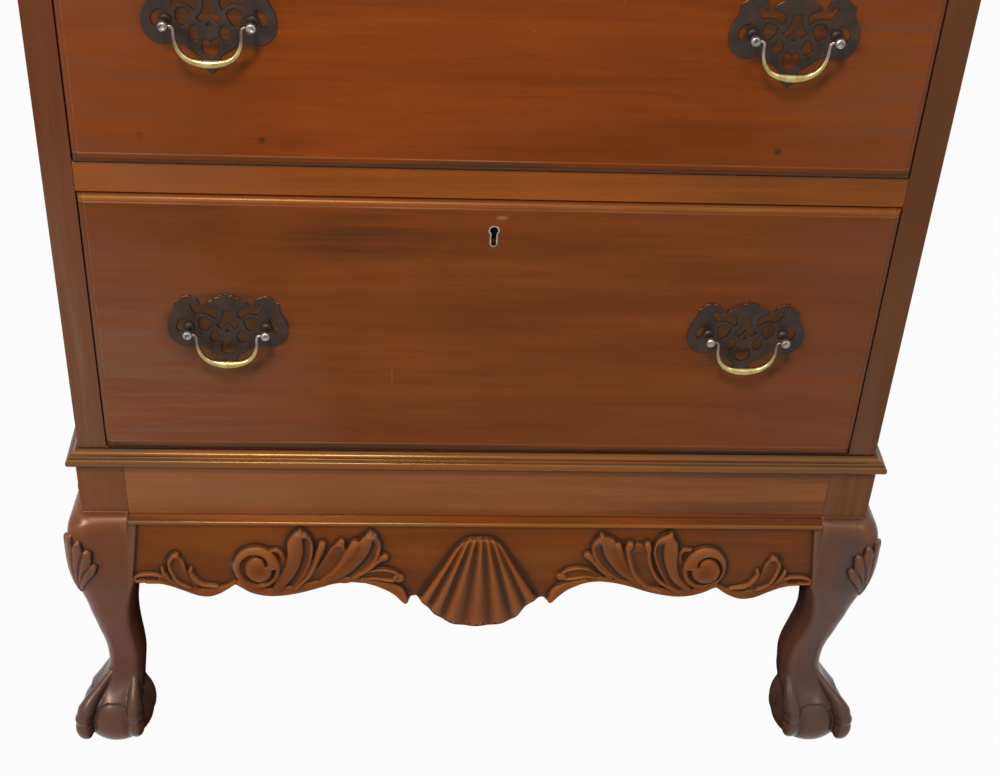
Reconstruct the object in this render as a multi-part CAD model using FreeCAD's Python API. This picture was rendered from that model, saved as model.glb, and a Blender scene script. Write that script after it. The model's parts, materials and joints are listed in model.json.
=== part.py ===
"""Highboy: a tall case of five drawers on a low stand with cabriole legs.

Millimetres. +Z is up, the front faces -Y, and the origin is on the floor under the middle of the stand.
"""
import FreeCAD, Part
import math
import os

os.makedirs("parts", exist_ok=True)

# Case
case_width = 848.0
case_depth = 460.0
side_thickness = 20.0
stile_width = 29.5
stile_depth = 22.0
rail_height = 31.0
rail_depth = 70.0
sill_height = 19.0
tenon_length = 14.0
tenon_height = 13.0
tenon_depth = 9.0
divider_width = 31.0
bottom_board_thickness = 9.0
back_thickness = 8.0
top_thickness = 20.0
top_overhang = 24.0
top_edge_radius = 7.0
cornice_height = 20.0
cornice_projection = 17.0
moulding_fillet = 3.0

# Drawer openings, from the bottom up
bottom_opening = 306.0
middle_opening = 282.0
upper_opening = 258.0
small_opening = 180.0

# Runners, guides and stops
runner_width = 30.0
guide_height = 18.0
stop_width = 34.0
stop_depth = 6.0
stop_height = 7.0
stop_gap = 0.3

# Drawers
front_thickness = 24.0
front_proud = 5.0
front_side_gap = 1.2
front_bottom_gap = 0.8
front_top_gap = 2.0
ovolo_width = 6.5
quirk_depth = 1.0
slide_gap = 0.3
board_thickness = 11.0
side_inset = 0.5
side_drop = 4.0
dovetail_length = 15.0
dovetail_pitch = 62.0
dovetail_share = 0.6
dovetail_slope = 1.0 / 7.0
panel_thickness = 6.0
panel_rise = 10.0
groove_depth = 5.0
drawer_rear_gap = 24.0

# Handles
handle_offset = 259.5
handle_rise = 7.2
post_spacing = 76.0
post_radius = 2.6
post_reach = 15.5
post_head_radius = 5.0
post_collar_radius = 4.6
post_collar_length = 2.5
nut_radius = 7.0
nut_length = 4.0
post_tip = 1.0
hole_clearance = 0.2
plate_thickness = 1.8
plate_width = 118.6
plate_height = 91.6
plate_drawn_width = 118.6
plate_drawn_height = 91.6
bail_pin_radius = 1.5
bail_pin_clearance = 0.08
bail_end_gap = 1.0
bail_inset = 8.6
bail_elbow_radius = 3.0
bail_arm_length = 13.0
bail_arm_radius = 2.2
bail_bend_radius = 18.4
bail_grip_radius = 3.8

# Locks
keyhole_drop = 36.0
keyhole_radius = 4.0
keyhole_slot_width = 4.8
keyhole_length = 21.0
liner_wall = 1.4
liner_depth = 5.0
lock_width = 60.0
lock_height = 54.0
lock_depth = 10.0
selvedge_depth = 14.0
selvedge_thickness = 2.5
bolt_width = 26.0
bolt_thickness = 5.0
bolt_height = 20.0
bolt_setback = 3.0
bolt_throw = 9.5
bolt_clearance = 0.3
mortise_gap = 1.0
key_room_radius = 8.0
key_room_depth = 6.0
key_pin_radius = 1.5

# Stand
stand_height = 413.0
stand_reveal = 4.0
frieze_height = 70.0
rail_thickness = 22.0
post_size = 50.0
back_rail_height = 110.0
waist_moulding_gap = 0.6
waist_moulding_projection = 12.5
waist_nose_height = 9.5

# Legs
knee_projection = 21.0
knee_shoulder = 6.0
knee_corner = 14.0
post_corner = 1.7
ankle_height = 105.0
ankle_corner = 17.0
ball_radius = 37.0
ball_flat = 4.0
foot_inset = 3.0
talon_reach = 40.0
heel_reach = 50.0
talon_radius = 10.5

# Aprons
apron_thickness = 24.0
apron_projection = 13.0
apron_nose = 5.0
apron_nose_radius = 2.0
apron_border = 8.0
apron_ground_depth = 4.0
apron_end_drop = 94.0
apron_lobe_drop = 109.0
apron_cusp_drop = 91.0
apron_arch_drop = 84.0
leaf_tip_drop = 119.0
side_apron_lobe_drop = 97.0
side_apron_arch_drop = 76.0
shell_drop = 150.0
shell_top_drop = 17.0
shell_apex_drop = 3.0
shell_half_angle = 31.0
shell_half_width = 66.0
shell_rib_count = 9
shell_base = 3.0
leaf_relief = 6.0
volute_radius = 25.0
volute_offset = 241.0
volute_drop = 60.0
volute_relief = 3.0

# Distance that a cut runs past the face it starts from
overshoot = 1.0

# Levels and planes that follow from the sizes above
case_front = -case_depth / 2
case_back = case_depth / 2
case_half = case_width / 2
opening_half = case_half - stile_width
inner_half = case_half - side_thickness
back_face = case_back - back_thickness
rail_back = case_front + rail_depth
stand_x = case_half + stand_reveal
stand_y = case_depth / 2 + stand_reveal
apron_half = stand_x - post_size
apron_front = -stand_y - apron_projection
apron_ground = apron_front + apron_ground_depth
knee_top = stand_height - frieze_height
sill_top = stand_height + sill_height
waist_moulding_height = sill_height - waist_moulding_gap

front_face = case_front - front_proud
front_back = front_face + front_thickness
drawer_back = back_face - drawer_rear_gap
bail_axis_y = front_face - plate_thickness - post_reach


def vec(x, y, z):
    return FreeCAD.Vector(x, y, z)


def block(x0, x1, y0, y1, z0, z1):
    """A box between two corners."""
    return Part.makeBox(x1 - x0, y1 - y0, z1 - z0, vec(x0, y0, z0))


def mirror_x(shape):
    return shape.mirror(vec(0, 0, 0), vec(1, 0, 0))


def mirror_y(shape):
    return shape.mirror(vec(0, 0, 0), vec(0, 1, 0))


def curve_through(points):
    """One edge through a run of points: a line, an arc or a smooth curve."""
    if len(points) == 2:
        return Part.LineSegment(points[0], points[1]).toShape()
    if len(points) == 3:
        return Part.Arc(points[0], points[1], points[2]).toShape()
    curve = Part.BSplineCurve()
    curve.interpolate(points)
    return curve.toShape()


def prism(runs, direction):
    """Extrudes the closed outline that the runs of points make, one edge for each run."""
    wire = Part.Wire([curve_through(run) for run in runs])
    return Part.Face(wire).extrude(direction)


def both_halves(runs):
    """Completes the right half of an outline, which runs from the top middle to the bottom middle."""
    left = [[vec(-p.x, p.y, p.z) for p in reversed(run)] for run in reversed(runs)]
    return runs + left


def level(points, y):
    """Points in a plane that faces the front, from pairs of x and z."""
    return [vec(x, y, z) for x, z in points]


def save(name, solids):
    shape = solids[0] if len(solids) == 1 else Part.makeCompound(solids)
    shape.exportStep(os.path.join("parts", name + ".step"))
    print(name, "solids", len(shape.Solids), "valid", shape.isValid())


# Openings as (name, left, right, bottom, top), and the rails above them as (bottom, top)

def lay_out_openings():
    heights = [("bottom", bottom_opening), ("middle", middle_opening), ("upper", upper_opening)]
    openings = []
    rails = []
    z = sill_top
    for name, height in heights:
        openings.append((name, -opening_half, opening_half, z, z + height))
        rails.append((z + height, z + height + rail_height))
        z += height + rail_height
    divider_half = divider_width / 2
    openings.append(("small_left", -opening_half, -divider_half, z, z + small_opening))
    openings.append(("small_right", divider_half, opening_half, z, z + small_opening))
    rails.append((z + small_opening, z + small_opening + rail_height))
    return openings, rails


openings, rails = lay_out_openings()
case_top = rails[-1][1]
small_floor = openings[-1][3]


# Case

def tenons(z0, z1):
    """The stub tenons at both ends of a rail."""
    middle = (z0 + z1) / 2
    z_low = middle - tenon_height * (z1 - z0) / rail_height / 2
    z_high = middle + tenon_height * (z1 - z0) / rail_height / 2
    y_middle = case_front + stile_depth / 2
    right = block(opening_half, opening_half + tenon_length,
                  y_middle - tenon_depth / 2, y_middle + tenon_depth / 2, z_low, z_high)
    return [mirror_x(right), right]


def rail_levels():
    return [(stand_height, sill_top)] + rails


def make_rails():
    """The sill and the rails, with tenons, and a mortise over each lock bolt."""
    solids = []
    for z0, z1 in rail_levels():
        rail = block(-opening_half, opening_half, case_front, rail_back, z0, z1)
        rail = rail.fuse(tenons(z0, z1)).removeSplitter()
        if z0 in [z_top for _, _, _, _, z_top in openings[:3]]:
            rail = rail.cut(bolt_mortise(z0))
        solids.append(rail)
    return solids


def bolt_mortise(z):
    y1 = front_back - bolt_setback + mortise_gap
    half = bolt_width / 2 + mortise_gap
    return block(-half, half, y1 - bolt_thickness - 2 * mortise_gap, y1, z, z + bolt_throw)


def make_stile():
    stile = block(opening_half, case_half, case_front, case_front + stile_depth, stand_height, case_top)
    return stile.cut([tenons(z0, z1)[1] for z0, z1 in rail_levels()])


def make_side():
    return block(inner_half, case_half, case_front + stile_depth, case_back, stand_height, case_top)


def make_divider():
    half = divider_width / 2
    return block(-half, half, case_front, rail_back, small_floor, small_floor + small_opening)


def make_runners():
    """Side runners at every rail, with guides where a drawer stands on them, and the middle runner."""
    solids = []
    for z0, z1 in rail_levels():
        z_low = z0 + bottom_board_thickness if z0 == stand_height else z0
        runner = block(inner_half - runner_width, inner_half, rail_back, back_face, z_low, z1)
        solids += [mirror_x(runner), runner]
        if z1 < case_top:
            guide = block(opening_half, inner_half, rail_back, back_face, z1, z1 + guide_height)
            solids += [mirror_x(guide), guide]
    half = divider_width / 2
    z0, z1 = rails[-2]
    solids.append(block(-half - runner_width, half + runner_width, rail_back, back_face, z0, z1))
    solids.append(block(-half, half, rail_back, back_face, z1, z1 + guide_height))
    return solids


def make_stops():
    """Two blocks on the rail below each drawer, which stop the back of its front."""
    solids = []
    y0 = front_back + stop_gap
    for _, x0, x1, z0, _ in openings:
        quarter = (x1 - x0) / 4
        for x in (x0 + quarter, x1 - quarter):
            solids.append(block(x - stop_width / 2, x + stop_width / 2, y0, y0 + stop_depth,
                                z0, z0 + stop_height))
    return solids


def make_case_bottom():
    return block(-inner_half, inner_half, rail_back, back_face,
                 stand_height, stand_height + bottom_board_thickness)


def make_back():
    return block(-inner_half, inner_half, back_face, case_back, stand_height, case_top)


def make_top():
    half = case_half + top_overhang
    top = block(-half, half, case_front - top_overhang, case_back, case_top, case_top + top_thickness)
    edges = [edge for edge in top.Edges if is_moulded_edge(edge)]
    return top.makeFillet(top_edge_radius, edges)


def is_moulded_edge(edge):
    """True for the upper edges of the top board at the front and the sides."""
    middle = edge.CenterOfMass
    return middle.z > case_top + top_thickness - 0.01 and middle.y < case_back - 0.01


def mitred_moulding(profile, z_base, y_back):
    """Front piece and two returns of a moulding round the case, with mitred corners.

    The profile's runs hold pairs of (distance out from the case, height above z_base).
    """
    reach = 3 * max(p for run in profile for p, _ in run)
    front_runs = [[vec(-case_half - reach, case_front - p, z_base + h) for p, h in run] for run in profile]
    front = prism(front_runs, vec(2 * (case_half + reach), 0, 0))
    side_runs = [[vec(case_half + p, case_front - reach, z_base + h) for p, h in run] for run in profile]
    side = prism(side_runs, vec(0, y_back - case_front + reach, 0))
    corner = (case_half, case_front)
    tip = (case_half + 2 * reach, case_front - 2 * reach)
    beyond = corner_wedge(corner, tip, (tip[0], corner[1]), z_base)
    before = corner_wedge(corner, tip, (corner[0], tip[1]), z_base)
    front = front.cut([beyond, mirror_x(beyond)])
    right = side.cut(before)
    return [front, mirror_x(right), right]


def corner_wedge(a, b, c, z_base):
    """A tall triangular prism that cuts a moulding at its mitre."""
    tall = case_top
    points = [vec(x, y, z_base - tall / 2) for x, y in (a, b, c)]
    return Part.Face(Part.makePolygon(points + points[:1])).extrude(vec(0, 0, tall))


def cornice_profile():
    p = cornice_projection
    h = cornice_height
    f = moulding_fillet
    return [[(0, 0), (f, 0)], [(f, 0), (f, f)],
            [(f, f), (f + 0.3 * (p - f), f + 0.7 * (h - 2 * f)), (p, h - f)],
            [(p, h - f), (p, h)], [(p, h), (0, h)], [(0, h), (0, 0)]]


def waist_profile():
    p = waist_moulding_projection
    h = waist_moulding_height
    n = waist_nose_height
    f = moulding_fillet
    return [[(0, 0), (p, 0)], [(p, 0), (p, n)], [(p, n), (p - f, n)],
            [(p - f, n), (p - 1.5 * f, (n + h - f) / 2 + f / 2), (f, h - f)],
            [(f, h - f), (f, h)], [(f, h), (0, h)], [(0, h), (0, 0)]]


# Drawers

def drawer_sizes(opening):
    """Corners of the front and of the box behind it."""
    _, x0, x1, z0, z1 = opening
    return {
        "left": x0 + front_side_gap, "right": x1 - front_side_gap,
        "low": z0 + front_bottom_gap, "high": z1 - front_top_gap,
        "box_left": x0 + front_side_gap + side_inset, "box_right": x1 - front_side_gap - side_inset,
        "box_low": z0 + slide_gap, "box_high": z1 - front_top_gap - side_drop,
        "panel_low": z0 + slide_gap + panel_rise,
        "panel_high": z0 + slide_gap + panel_rise + panel_thickness,
        "middle": (x0 + x1) / 2,
    }


def moulded_section(low, high, place):
    """Section through a front with its thumb mould, where place puts (along, y) in space."""
    shoulder = front_face + quirk_depth
    mid_along = ovolo_width * (1 - math.cos(math.radians(45)))
    mid_y = case_front + (shoulder - case_front) * math.sin(math.radians(45))
    a, b = low + ovolo_width, high - ovolo_width
    return [[place(low, front_back), place(low, case_front)],
            [place(low, case_front), place(low + mid_along, mid_y), place(a, shoulder)],
            [place(a, shoulder), place(a, front_face)], [place(a, front_face), place(b, front_face)],
            [place(b, front_face), place(b, shoulder)],
            [place(b, shoulder), place(high - mid_along, mid_y), place(high, case_front)],
            [place(high, case_front), place(high, front_back)],
            [place(high, front_back), place(low, front_back)]]


def tails(z0, z1, y_shoulder, y_tip, x0, x1):
    """Dovetail tails along an upright edge, wider at the tip than at the shoulder."""
    count = max(2, round((z1 - z0) / dovetail_pitch))
    pitch = (z1 - z0) / count
    flare = abs(y_tip - y_shoulder) * dovetail_slope
    solids = []
    for i in range(count):
        z = z0 + (i + 0.5) * pitch
        narrow = pitch * dovetail_share / 2
        wide = narrow + flare
        points = [vec(x0, y_shoulder, z - narrow), vec(x0, y_tip, z - wide),
                  vec(x0, y_tip, z + wide), vec(x0, y_shoulder, z + narrow)]
        solids.append(Part.Face(Part.makePolygon(points + points[:1])).extrude(vec(x1 - x0, 0, 0)))
    return solids


def front_tails(size, x0, x1):
    return tails(size["panel_high"], size["box_high"], front_back, front_back - dovetail_length, x0, x1)


def rear_tails(size, x0, x1):
    return tails(size["panel_high"], size["box_high"], drawer_back - board_thickness, drawer_back, x0, x1)


def make_front(size, handles, locked):
    across = prism(moulded_section(size["low"], size["high"],
                                   lambda along, y: vec(size["left"], y, along)),
                   vec(size["right"] - size["left"], 0, 0))
    upright = prism(moulded_section(size["left"], size["right"],
                                    lambda along, y: vec(along, y, size["low"])),
                    vec(0, 0, size["high"] - size["low"]))
    front = across.common(upright)
    inner_left = size["box_left"] + board_thickness
    inner_right = size["box_right"] - board_thickness
    cuts = front_tails(size, size["left"] - overshoot, inner_left)
    cuts += front_tails(size, inner_right, size["right"] + overshoot)
    cuts.append(block(inner_left, inner_right, front_back - groove_depth, front_back,
                      size["panel_low"], size["panel_high"]))
    for x in handles:
        for post_x in post_places(x):
            cuts.append(along_y(post_radius + hole_clearance, post_x, handle_level(size),
                                front_face - overshoot, front_back + overshoot))
    if locked:
        z = key_level(size)
        cuts.append(keyhole(0, front_face - overshoot, front_back, z))
        cuts.append(keyhole(liner_wall, front_face - overshoot, front_face + liner_depth, z))
        cuts += lock_envelope(size)
    return front.cut(cuts)


def make_box(size):
    """Two sides and the back, dovetailed together."""
    inner_left = size["box_left"] + board_thickness
    inner_right = size["box_right"] - board_thickness
    sides = [make_drawer_side(size, size["box_left"], inner_left, 1),
             make_drawer_side(size, inner_right, size["box_right"], -1)]
    back = block(size["box_left"], size["box_right"], drawer_back - board_thickness, drawer_back,
                 size["panel_high"], size["box_high"])
    back = back.cut(rear_tails(size, size["box_left"], inner_left)
                    + rear_tails(size, inner_right, size["box_right"]))
    return sides + [back]


def make_drawer_side(size, x0, x1, inward):
    side = block(x0, x1, front_back, drawer_back - board_thickness, size["box_low"], size["box_high"])
    foot = block(x0, x1, drawer_back - board_thickness, drawer_back, size["box_low"], size["panel_high"])
    side = side.fuse([foot] + front_tails(size, x0, x1) + rear_tails(size, x0, x1)).removeSplitter()
    groove_x = x1 - groove_depth if inward > 0 else x0
    groove = block(groove_x, groove_x + groove_depth, front_back, drawer_back,
                   size["panel_low"], size["panel_high"])
    return side.cut(groove)


def make_panel(size):
    """The bottom of the drawer, let into grooves in the front and the sides."""
    inner_left = size["box_left"] + board_thickness
    inner_right = size["box_right"] - board_thickness
    main = block(inner_left - groove_depth, inner_right + groove_depth, front_back, drawer_back,
                 size["panel_low"], size["panel_high"])
    tongue = block(inner_left, inner_right, front_back - groove_depth, front_back,
                   size["panel_low"], size["panel_high"])
    return main.fuse(tongue).removeSplitter()


# Handles

def along_y(radius, x, z, y0, y1):
    return Part.makeCylinder(radius, y1 - y0, vec(x, y0, z), vec(0, 1, 0))


def handle_places(opening, size):
    if opening[0].startswith("small"):
        return [size["middle"]]
    return [-handle_offset, handle_offset]


def handle_level(size):
    return (size["low"] + size["high"]) / 2 + handle_rise


def post_places(x):
    return (x - post_spacing / 2, x + post_spacing / 2)


def plate_outline():
    """Right half of the backplate: crown, stem, wing, basket and tail, about the level of the posts.

    It is drawn 59.3 to a side, 39.6 up and 52 down, and make_plate stretches it to the plate's size.
    """
    return [
        [(0, 39.6), (3.0, 35.6)],
        [(3.0, 35.6), (5.6, 36.4), (7.6, 33.8)],
        [(7.6, 33.8), (11, 33.8), (13.4, 31)],
        [(13.4, 31), (18.4, 28.4), (22, 24.2)],
        [(22, 24.2), (15.6, 22.6), (10.8, 19.4)],
        [(10.8, 19.4), (9.8, 13.4), (12.6, 8)],
        [(12.6, 8), (17.4, 12.2), (23, 14.2), (29.6, 13)],
        [(29.6, 13), (33.6, 17.4), (35.6, 22)],
        [(35.6, 22), (34.6, 26.4), (31.4, 25.8)],
        [(31.4, 25.8), (28.6, 23.6), (26.6, 26.8)],
        [(26.6, 26.8), (29.4, 32.6), (37.6, 35.8), (44, 34)],
        [(44, 34), (47.4, 30.4), (51.6, 28)],
        [(51.6, 28), (51.4, 21.4), (53.4, 15)],
        [(53.4, 15), (57.8, 6.4), (59.3, -2.8), (57.2, -13.4), (51, -20.6), (43.6, -23.9), (36, -23.4)],
        [(36, -23.4), (30.6, -21.4), (25.4, -22.6), (20, -27), (14.6, -30.8), (9.2, -34.4)],
        [(9.2, -34.4), (7.2, -40), (6.4, -46.6)],
        [(6.4, -46.6), (3.4, -48.6), (0, -52)],
    ]


def plate_piercings():
    """Closed outlines cut through the right half, and the ones on the middle line."""
    wing = [[(40.2, 8.8), (45.6, 8.2), (49.8, 3.4)], [(49.8, 3.4), (50.6, -2.6), (47, -7.6)],
            [(47, -7.6), (44, -2.4), (43, 3)], [(43, 3), (42, 5.2), (40.2, 8.8)]]
    loop = [[(15.2, 5.4), (18.4, 9.4), (24, 10.8)], [(24, 10.8), (28.2, 8.4), (28.6, 2.6)],
            [(28.6, 2.6), (27, -4.6), (22.6, -7)], [(22.6, -7), (18.2, -2.4), (15.2, 5.4)]]
    eye = [[(9.4, -8.4), (13.6, -5), (17.2, -9)], [(17.2, -9), (18.2, -15), (13.4, -21)],
           [(13.4, -21), (8.8, -16), (9.4, -8.4)]]
    vase = [[(0, 19), (4.4, 18.8)], [(4.4, 18.8), (4.8, 12.6), (7, 6.4), (11, 1.4)],
            [(11, 1.4), (6.8, -4.6)], [(6.8, -4.6), (0, 3)]]
    chevron = [[(0, -1.6), (2.6, -5.2)], [(2.6, -5.2), (0, -7.4)]]
    heart = [[(0, -21.6), (3.2, -17.6)], [(3.2, -17.6), (5.4, -17.2), (7, -20.4)],
             [(7, -20.4), (7.6, -25.6), (5.8, -31.4), (0, -35)]]
    return [wing, loop, eye], [vase, chevron, heart]


def make_plate(x, z):
    y = front_face - plate_thickness
    push = vec(0, plate_thickness, 0)

    stretch_x = plate_width / plate_drawn_width
    stretch_z = plate_height / plate_drawn_height

    def placed(runs, sign=1):
        return [level([(x + sign * px * stretch_x, z + pz * stretch_z) for px, pz in run], y) for run in runs]

    right = placed(plate_outline())
    left = [list(reversed(run)) for run in reversed(placed(plate_outline(), -1))]
    plate = prism(right + left, push)
    sides, middles = plate_piercings()
    cuts = [prism(placed(hole, sign), push) for hole in sides for sign in (1, -1)]
    for hole in middles:
        cuts.append(prism(placed(hole) + [list(reversed(run)) for run in reversed(placed(hole, -1))], push))
    for post_x in post_places(x):
        cuts.append(along_y(post_radius + hole_clearance, post_x, z, y - overshoot, front_face + overshoot))
    return plate.cut(cuts)


def make_posts(x, z):
    """Two posts with their heads bored for the bail's pins, and the nuts inside the drawer."""
    solids = []
    plate_front = front_face - plate_thickness
    post_end = front_back + nut_length + post_tip
    for post_x, inward in zip(post_places(x), (1, -1)):
        shaft = along_y(post_radius, post_x, z, bail_axis_y, post_end)
        collar = along_y(post_collar_radius, post_x, z, plate_front - post_collar_length, plate_front)
        head = Part.makeSphere(post_head_radius, vec(post_x, bail_axis_y, z))
        post = shaft.fuse([collar, head]).removeSplitter()
        bore_start = vec(post_x - inward * bail_end_gap, bail_axis_y, z)
        bore = Part.makeCylinder(bail_pin_radius + bail_pin_clearance, 2 * post_head_radius,
                                 bore_start, vec(inward, 0, 0))
        solids.append(post.cut(bore))
        nut = along_y(nut_radius, post_x, z, front_back, front_back + nut_length)
        solids.append(nut.cut(along_y(post_radius, post_x, z, front_back - overshoot, post_end)))
    return solids


def make_bail(x, z):
    """A bail of round rod: pins, elbows, arms, a round bend at each side and a swollen grip."""
    y = bail_axis_y
    pin_end = post_spacing / 2
    arm_x = pin_end - bail_inset
    elbow = bail_elbow_radius
    arm_low = z - elbow - bail_arm_length
    bend_x = arm_x - bail_bend_radius
    grip_z = arm_low - bail_bend_radius
    pin = Part.makeCylinder(bail_pin_radius, bail_inset - elbow, vec(arm_x + elbow, y, z), vec(1, 0, 0))
    turn = ring_quarter(elbow, bail_pin_radius, vec(arm_x + elbow, y, z - elbow), 90)
    arm = Part.makeCone(bail_pin_radius, bail_arm_radius, bail_arm_length,
                        vec(arm_x, y, z - elbow), vec(0, 0, -1))
    bend = ring_quarter(bail_bend_radius, bail_arm_radius, vec(bend_x, y, arm_low), -90)
    grip = Part.makeCone(bail_grip_radius, bail_arm_radius, bend_x, vec(0, y, grip_z), vec(1, 0, 0))
    half = pin.fuse([turn, arm, bend, grip])
    whole = half.fuse(mirror_x(half)).removeSplitter()
    whole.translate(vec(x, 0, 0))
    return whole


def ring_quarter(radius, rod, centre, start):
    """A quarter of a ring that lies in a plane facing the front; start is its first angle from +X."""
    ring = Part.makeTorus(radius, rod, vec(0, 0, 0), vec(0, 0, 1), 0, 360, 90)
    ring.rotate(vec(0, 0, 0), vec(0, 0, 1), start)
    ring.rotate(vec(0, 0, 0), vec(1, 0, 0), 90)
    ring.translate(centre)
    return ring


# Locks

def key_level(size):
    return size["high"] - keyhole_drop


def keyhole(grow, y0, y1, z):
    """A round-headed slot, larger all round by grow, from y0 to y1."""
    radius = keyhole_radius + grow
    half = keyhole_slot_width / 2 + grow
    head_z = z + keyhole_length / 2 - keyhole_radius
    foot_z = z - keyhole_length / 2 + keyhole_slot_width / 2
    head = along_y(radius, 0, head_z, y0, y1)
    foot = along_y(half, 0, foot_z, y0, y1)
    return head.fuse([foot, block(-half, half, y0, y1, foot_z, head_z)]).removeSplitter()


def lock_envelope(size):
    """The lock's case and the selvedge on the drawer's top edge."""
    half = lock_width / 2
    case = block(-half, half, front_back - lock_depth, front_back,
                 size["high"] - lock_height, size["high"])
    selvedge = block(-half, half, front_back - selvedge_depth, front_back,
                     size["high"] - selvedge_thickness, size["high"])
    return [case, selvedge]


def make_lock(size):
    """The lock's case with its bolt slot and key room, and the liner of the keyhole."""
    z = key_level(size)
    case, selvedge = lock_envelope(size)
    body = case.fuse(selvedge).removeSplitter()
    gap = bolt_clearance
    half = bolt_width / 2 + gap
    y1 = front_back - bolt_setback + gap
    y0 = y1 - bolt_thickness - 2 * gap
    slot = block(-half, half, y0, y1, size["high"] - bolt_height - gap, size["high"])
    face = front_back - lock_depth
    key_room = along_y(key_room_radius, 0, key_pin_level(z), face + liner_wall, face + key_room_depth)
    key_way = keyhole(0, face, face + liner_wall, z)
    pin = along_y(key_pin_radius, 0, key_pin_level(z), face, face + key_room_depth)
    body = body.cut([slot, key_room, key_way]).fuse(pin).removeSplitter()
    liner = keyhole(liner_wall, front_face, front_face + liner_depth, z)
    liner = liner.cut(keyhole(0, front_face - overshoot, front_face + liner_depth + overshoot, z))
    return [body, liner]


def key_pin_level(z):
    return z + keyhole_length / 2 - keyhole_radius


def make_bolt(size):
    y1 = front_back - bolt_setback
    half = bolt_width / 2
    return block(-half, half, y1 - bolt_thickness, y1, size["high"] - bolt_height, size["high"])


# Stand

def make_stand_rails():
    """Frieze rails at the front and the sides, and the plain back rail, between the leg posts."""
    front = block(-apron_half, apron_half, -stand_y, -stand_y + rail_thickness, knee_top, stand_height)
    end_y = stand_y - post_size
    right = block(stand_x - rail_thickness, stand_x, -end_y, end_y, knee_top, stand_height)
    back = block(-apron_half, apron_half, stand_y - rail_thickness, stand_y,
                 stand_height - back_rail_height, stand_height)
    return [front, mirror_x(right), right, back]


def leg_section(z, outer, inner, corner):
    """A rounded square at height z, from inner to outer along both sides of the corner."""
    a, b, r = inner, outer, corner
    c = r * (1 - math.sqrt(0.5))
    corners = [((b - r, a), (b - c, a + c), (b, a + r)), ((b, b - r), (b - c, b - c), (b - r, b)),
               ((a + r, b), (a + c, b - c), (a, b - r)), ((a, a + r), (a + c, a + c), (a + r, a))]
    edges = []
    for i, points in enumerate(corners):
        arc = [leg_point(p, q, z) for p, q in points]
        following = leg_point(*corners[(i + 1) % 4][0], z)
        edges += [curve_through(arc), curve_through([arc[2], following])]
    return Part.Wire(edges)


def leg_point(out_x, out_y, z):
    """A point of the front right leg, from its distances out of the stand's side and front."""
    return vec(stand_x + out_x, -stand_y - out_y, z)


def leg_profile():
    """Levels of the leg as (height, outer face, inner face, corner radius)."""
    span = knee_top - ankle_height
    # share of the height above the ankle, share of the knee's projection, share of the post's size
    shape = [(1.0, 0.25, 1.0), (0.945, 0.57, 1.0), (0.88, 0.83, 1.0), (0.76, 1.0, 1.0),
             (0.685, 0.95, 1.0), (0.6, 0.79, 0.98), (0.51, 0.59, 0.91), (0.42, 0.4, 0.84),
             (0.31, 0.19, 0.81), (0.2, 0.0, 0.86), (0.1, -0.14, 0.92), (0.0, -0.17, 0.93)]
    levels = [(knee_top + knee_shoulder, 0.0, -post_size, post_corner)]
    for rise, out, depth in shape:
        blend = min(1.0, max(0.0, (0.7 - rise) / 0.7))
        corner = knee_corner + (ankle_corner - knee_corner) * blend
        levels.append((ankle_height + rise * span, out * knee_projection, -depth * post_size, corner))
    foot_middle = -foot_inset
    half = post_size / 2
    levels.append((0.82 * ankle_height, foot_middle + 0.2 * half, -0.9 * post_size, ankle_corner))
    levels.append((0.66 * ankle_height, foot_middle + 0.75 * half, -0.74 * post_size, ankle_corner))
    levels.append((0.56 * ankle_height, foot_middle + 0.9 * half, -0.62 * post_size, ankle_corner))
    return levels


def ankle_middle():
    return -0.5 * (0.17 * knee_projection + 0.93 * post_size)


def talon_path(reach):
    """Stations of a talon as (height, share of the way from ankle to foot, reach, radius)."""
    top = ankle_height
    r = talon_radius
    ball = ball_radius
    return [(1.05 * top, 0.0, 0.3 * reach, 0.7 * r), (0.9 * top, 0.35, 0.45 * reach, 0.8 * r),
            (0.78 * top, 0.65, 0.53 * reach, 0.9 * r), (1.86 * ball, 0.9, 0.61 * reach, r),
            (1.62 * ball, 1.0, 0.72 * reach, r), (1.32 * ball, 1.0, 0.9 * reach, r),
            (1.05 * ball, 1.0, reach, 0.95 * r), (0.75 * ball, 1.0, reach, 0.85 * r),
            (0.45 * ball, 1.0, 0.9 * reach, 0.55 * r)]


def make_talon(side_x, side_y):
    diagonal = math.sqrt(0.5)
    middle = ankle_middle()
    stations = talon_path(heel_reach if side_x + side_y < 0 else talon_reach)
    points = []
    for z, share, reach, _ in stations:
        axis = middle + (-foot_inset - middle) * share
        points.append(leg_point(axis + side_x * reach * diagonal, axis + side_y * reach * diagonal, z))
    rings = []
    for i, (_, _, _, radius) in enumerate(stations):
        ahead = points[min(i + 1, len(points) - 1)]
        behind = points[max(i - 1, 0)]
        rings.append(Part.Wire(Part.makeCircle(radius, points[i], ahead - behind)))
    return Part.makeLoft(rings, True, False)


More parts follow.
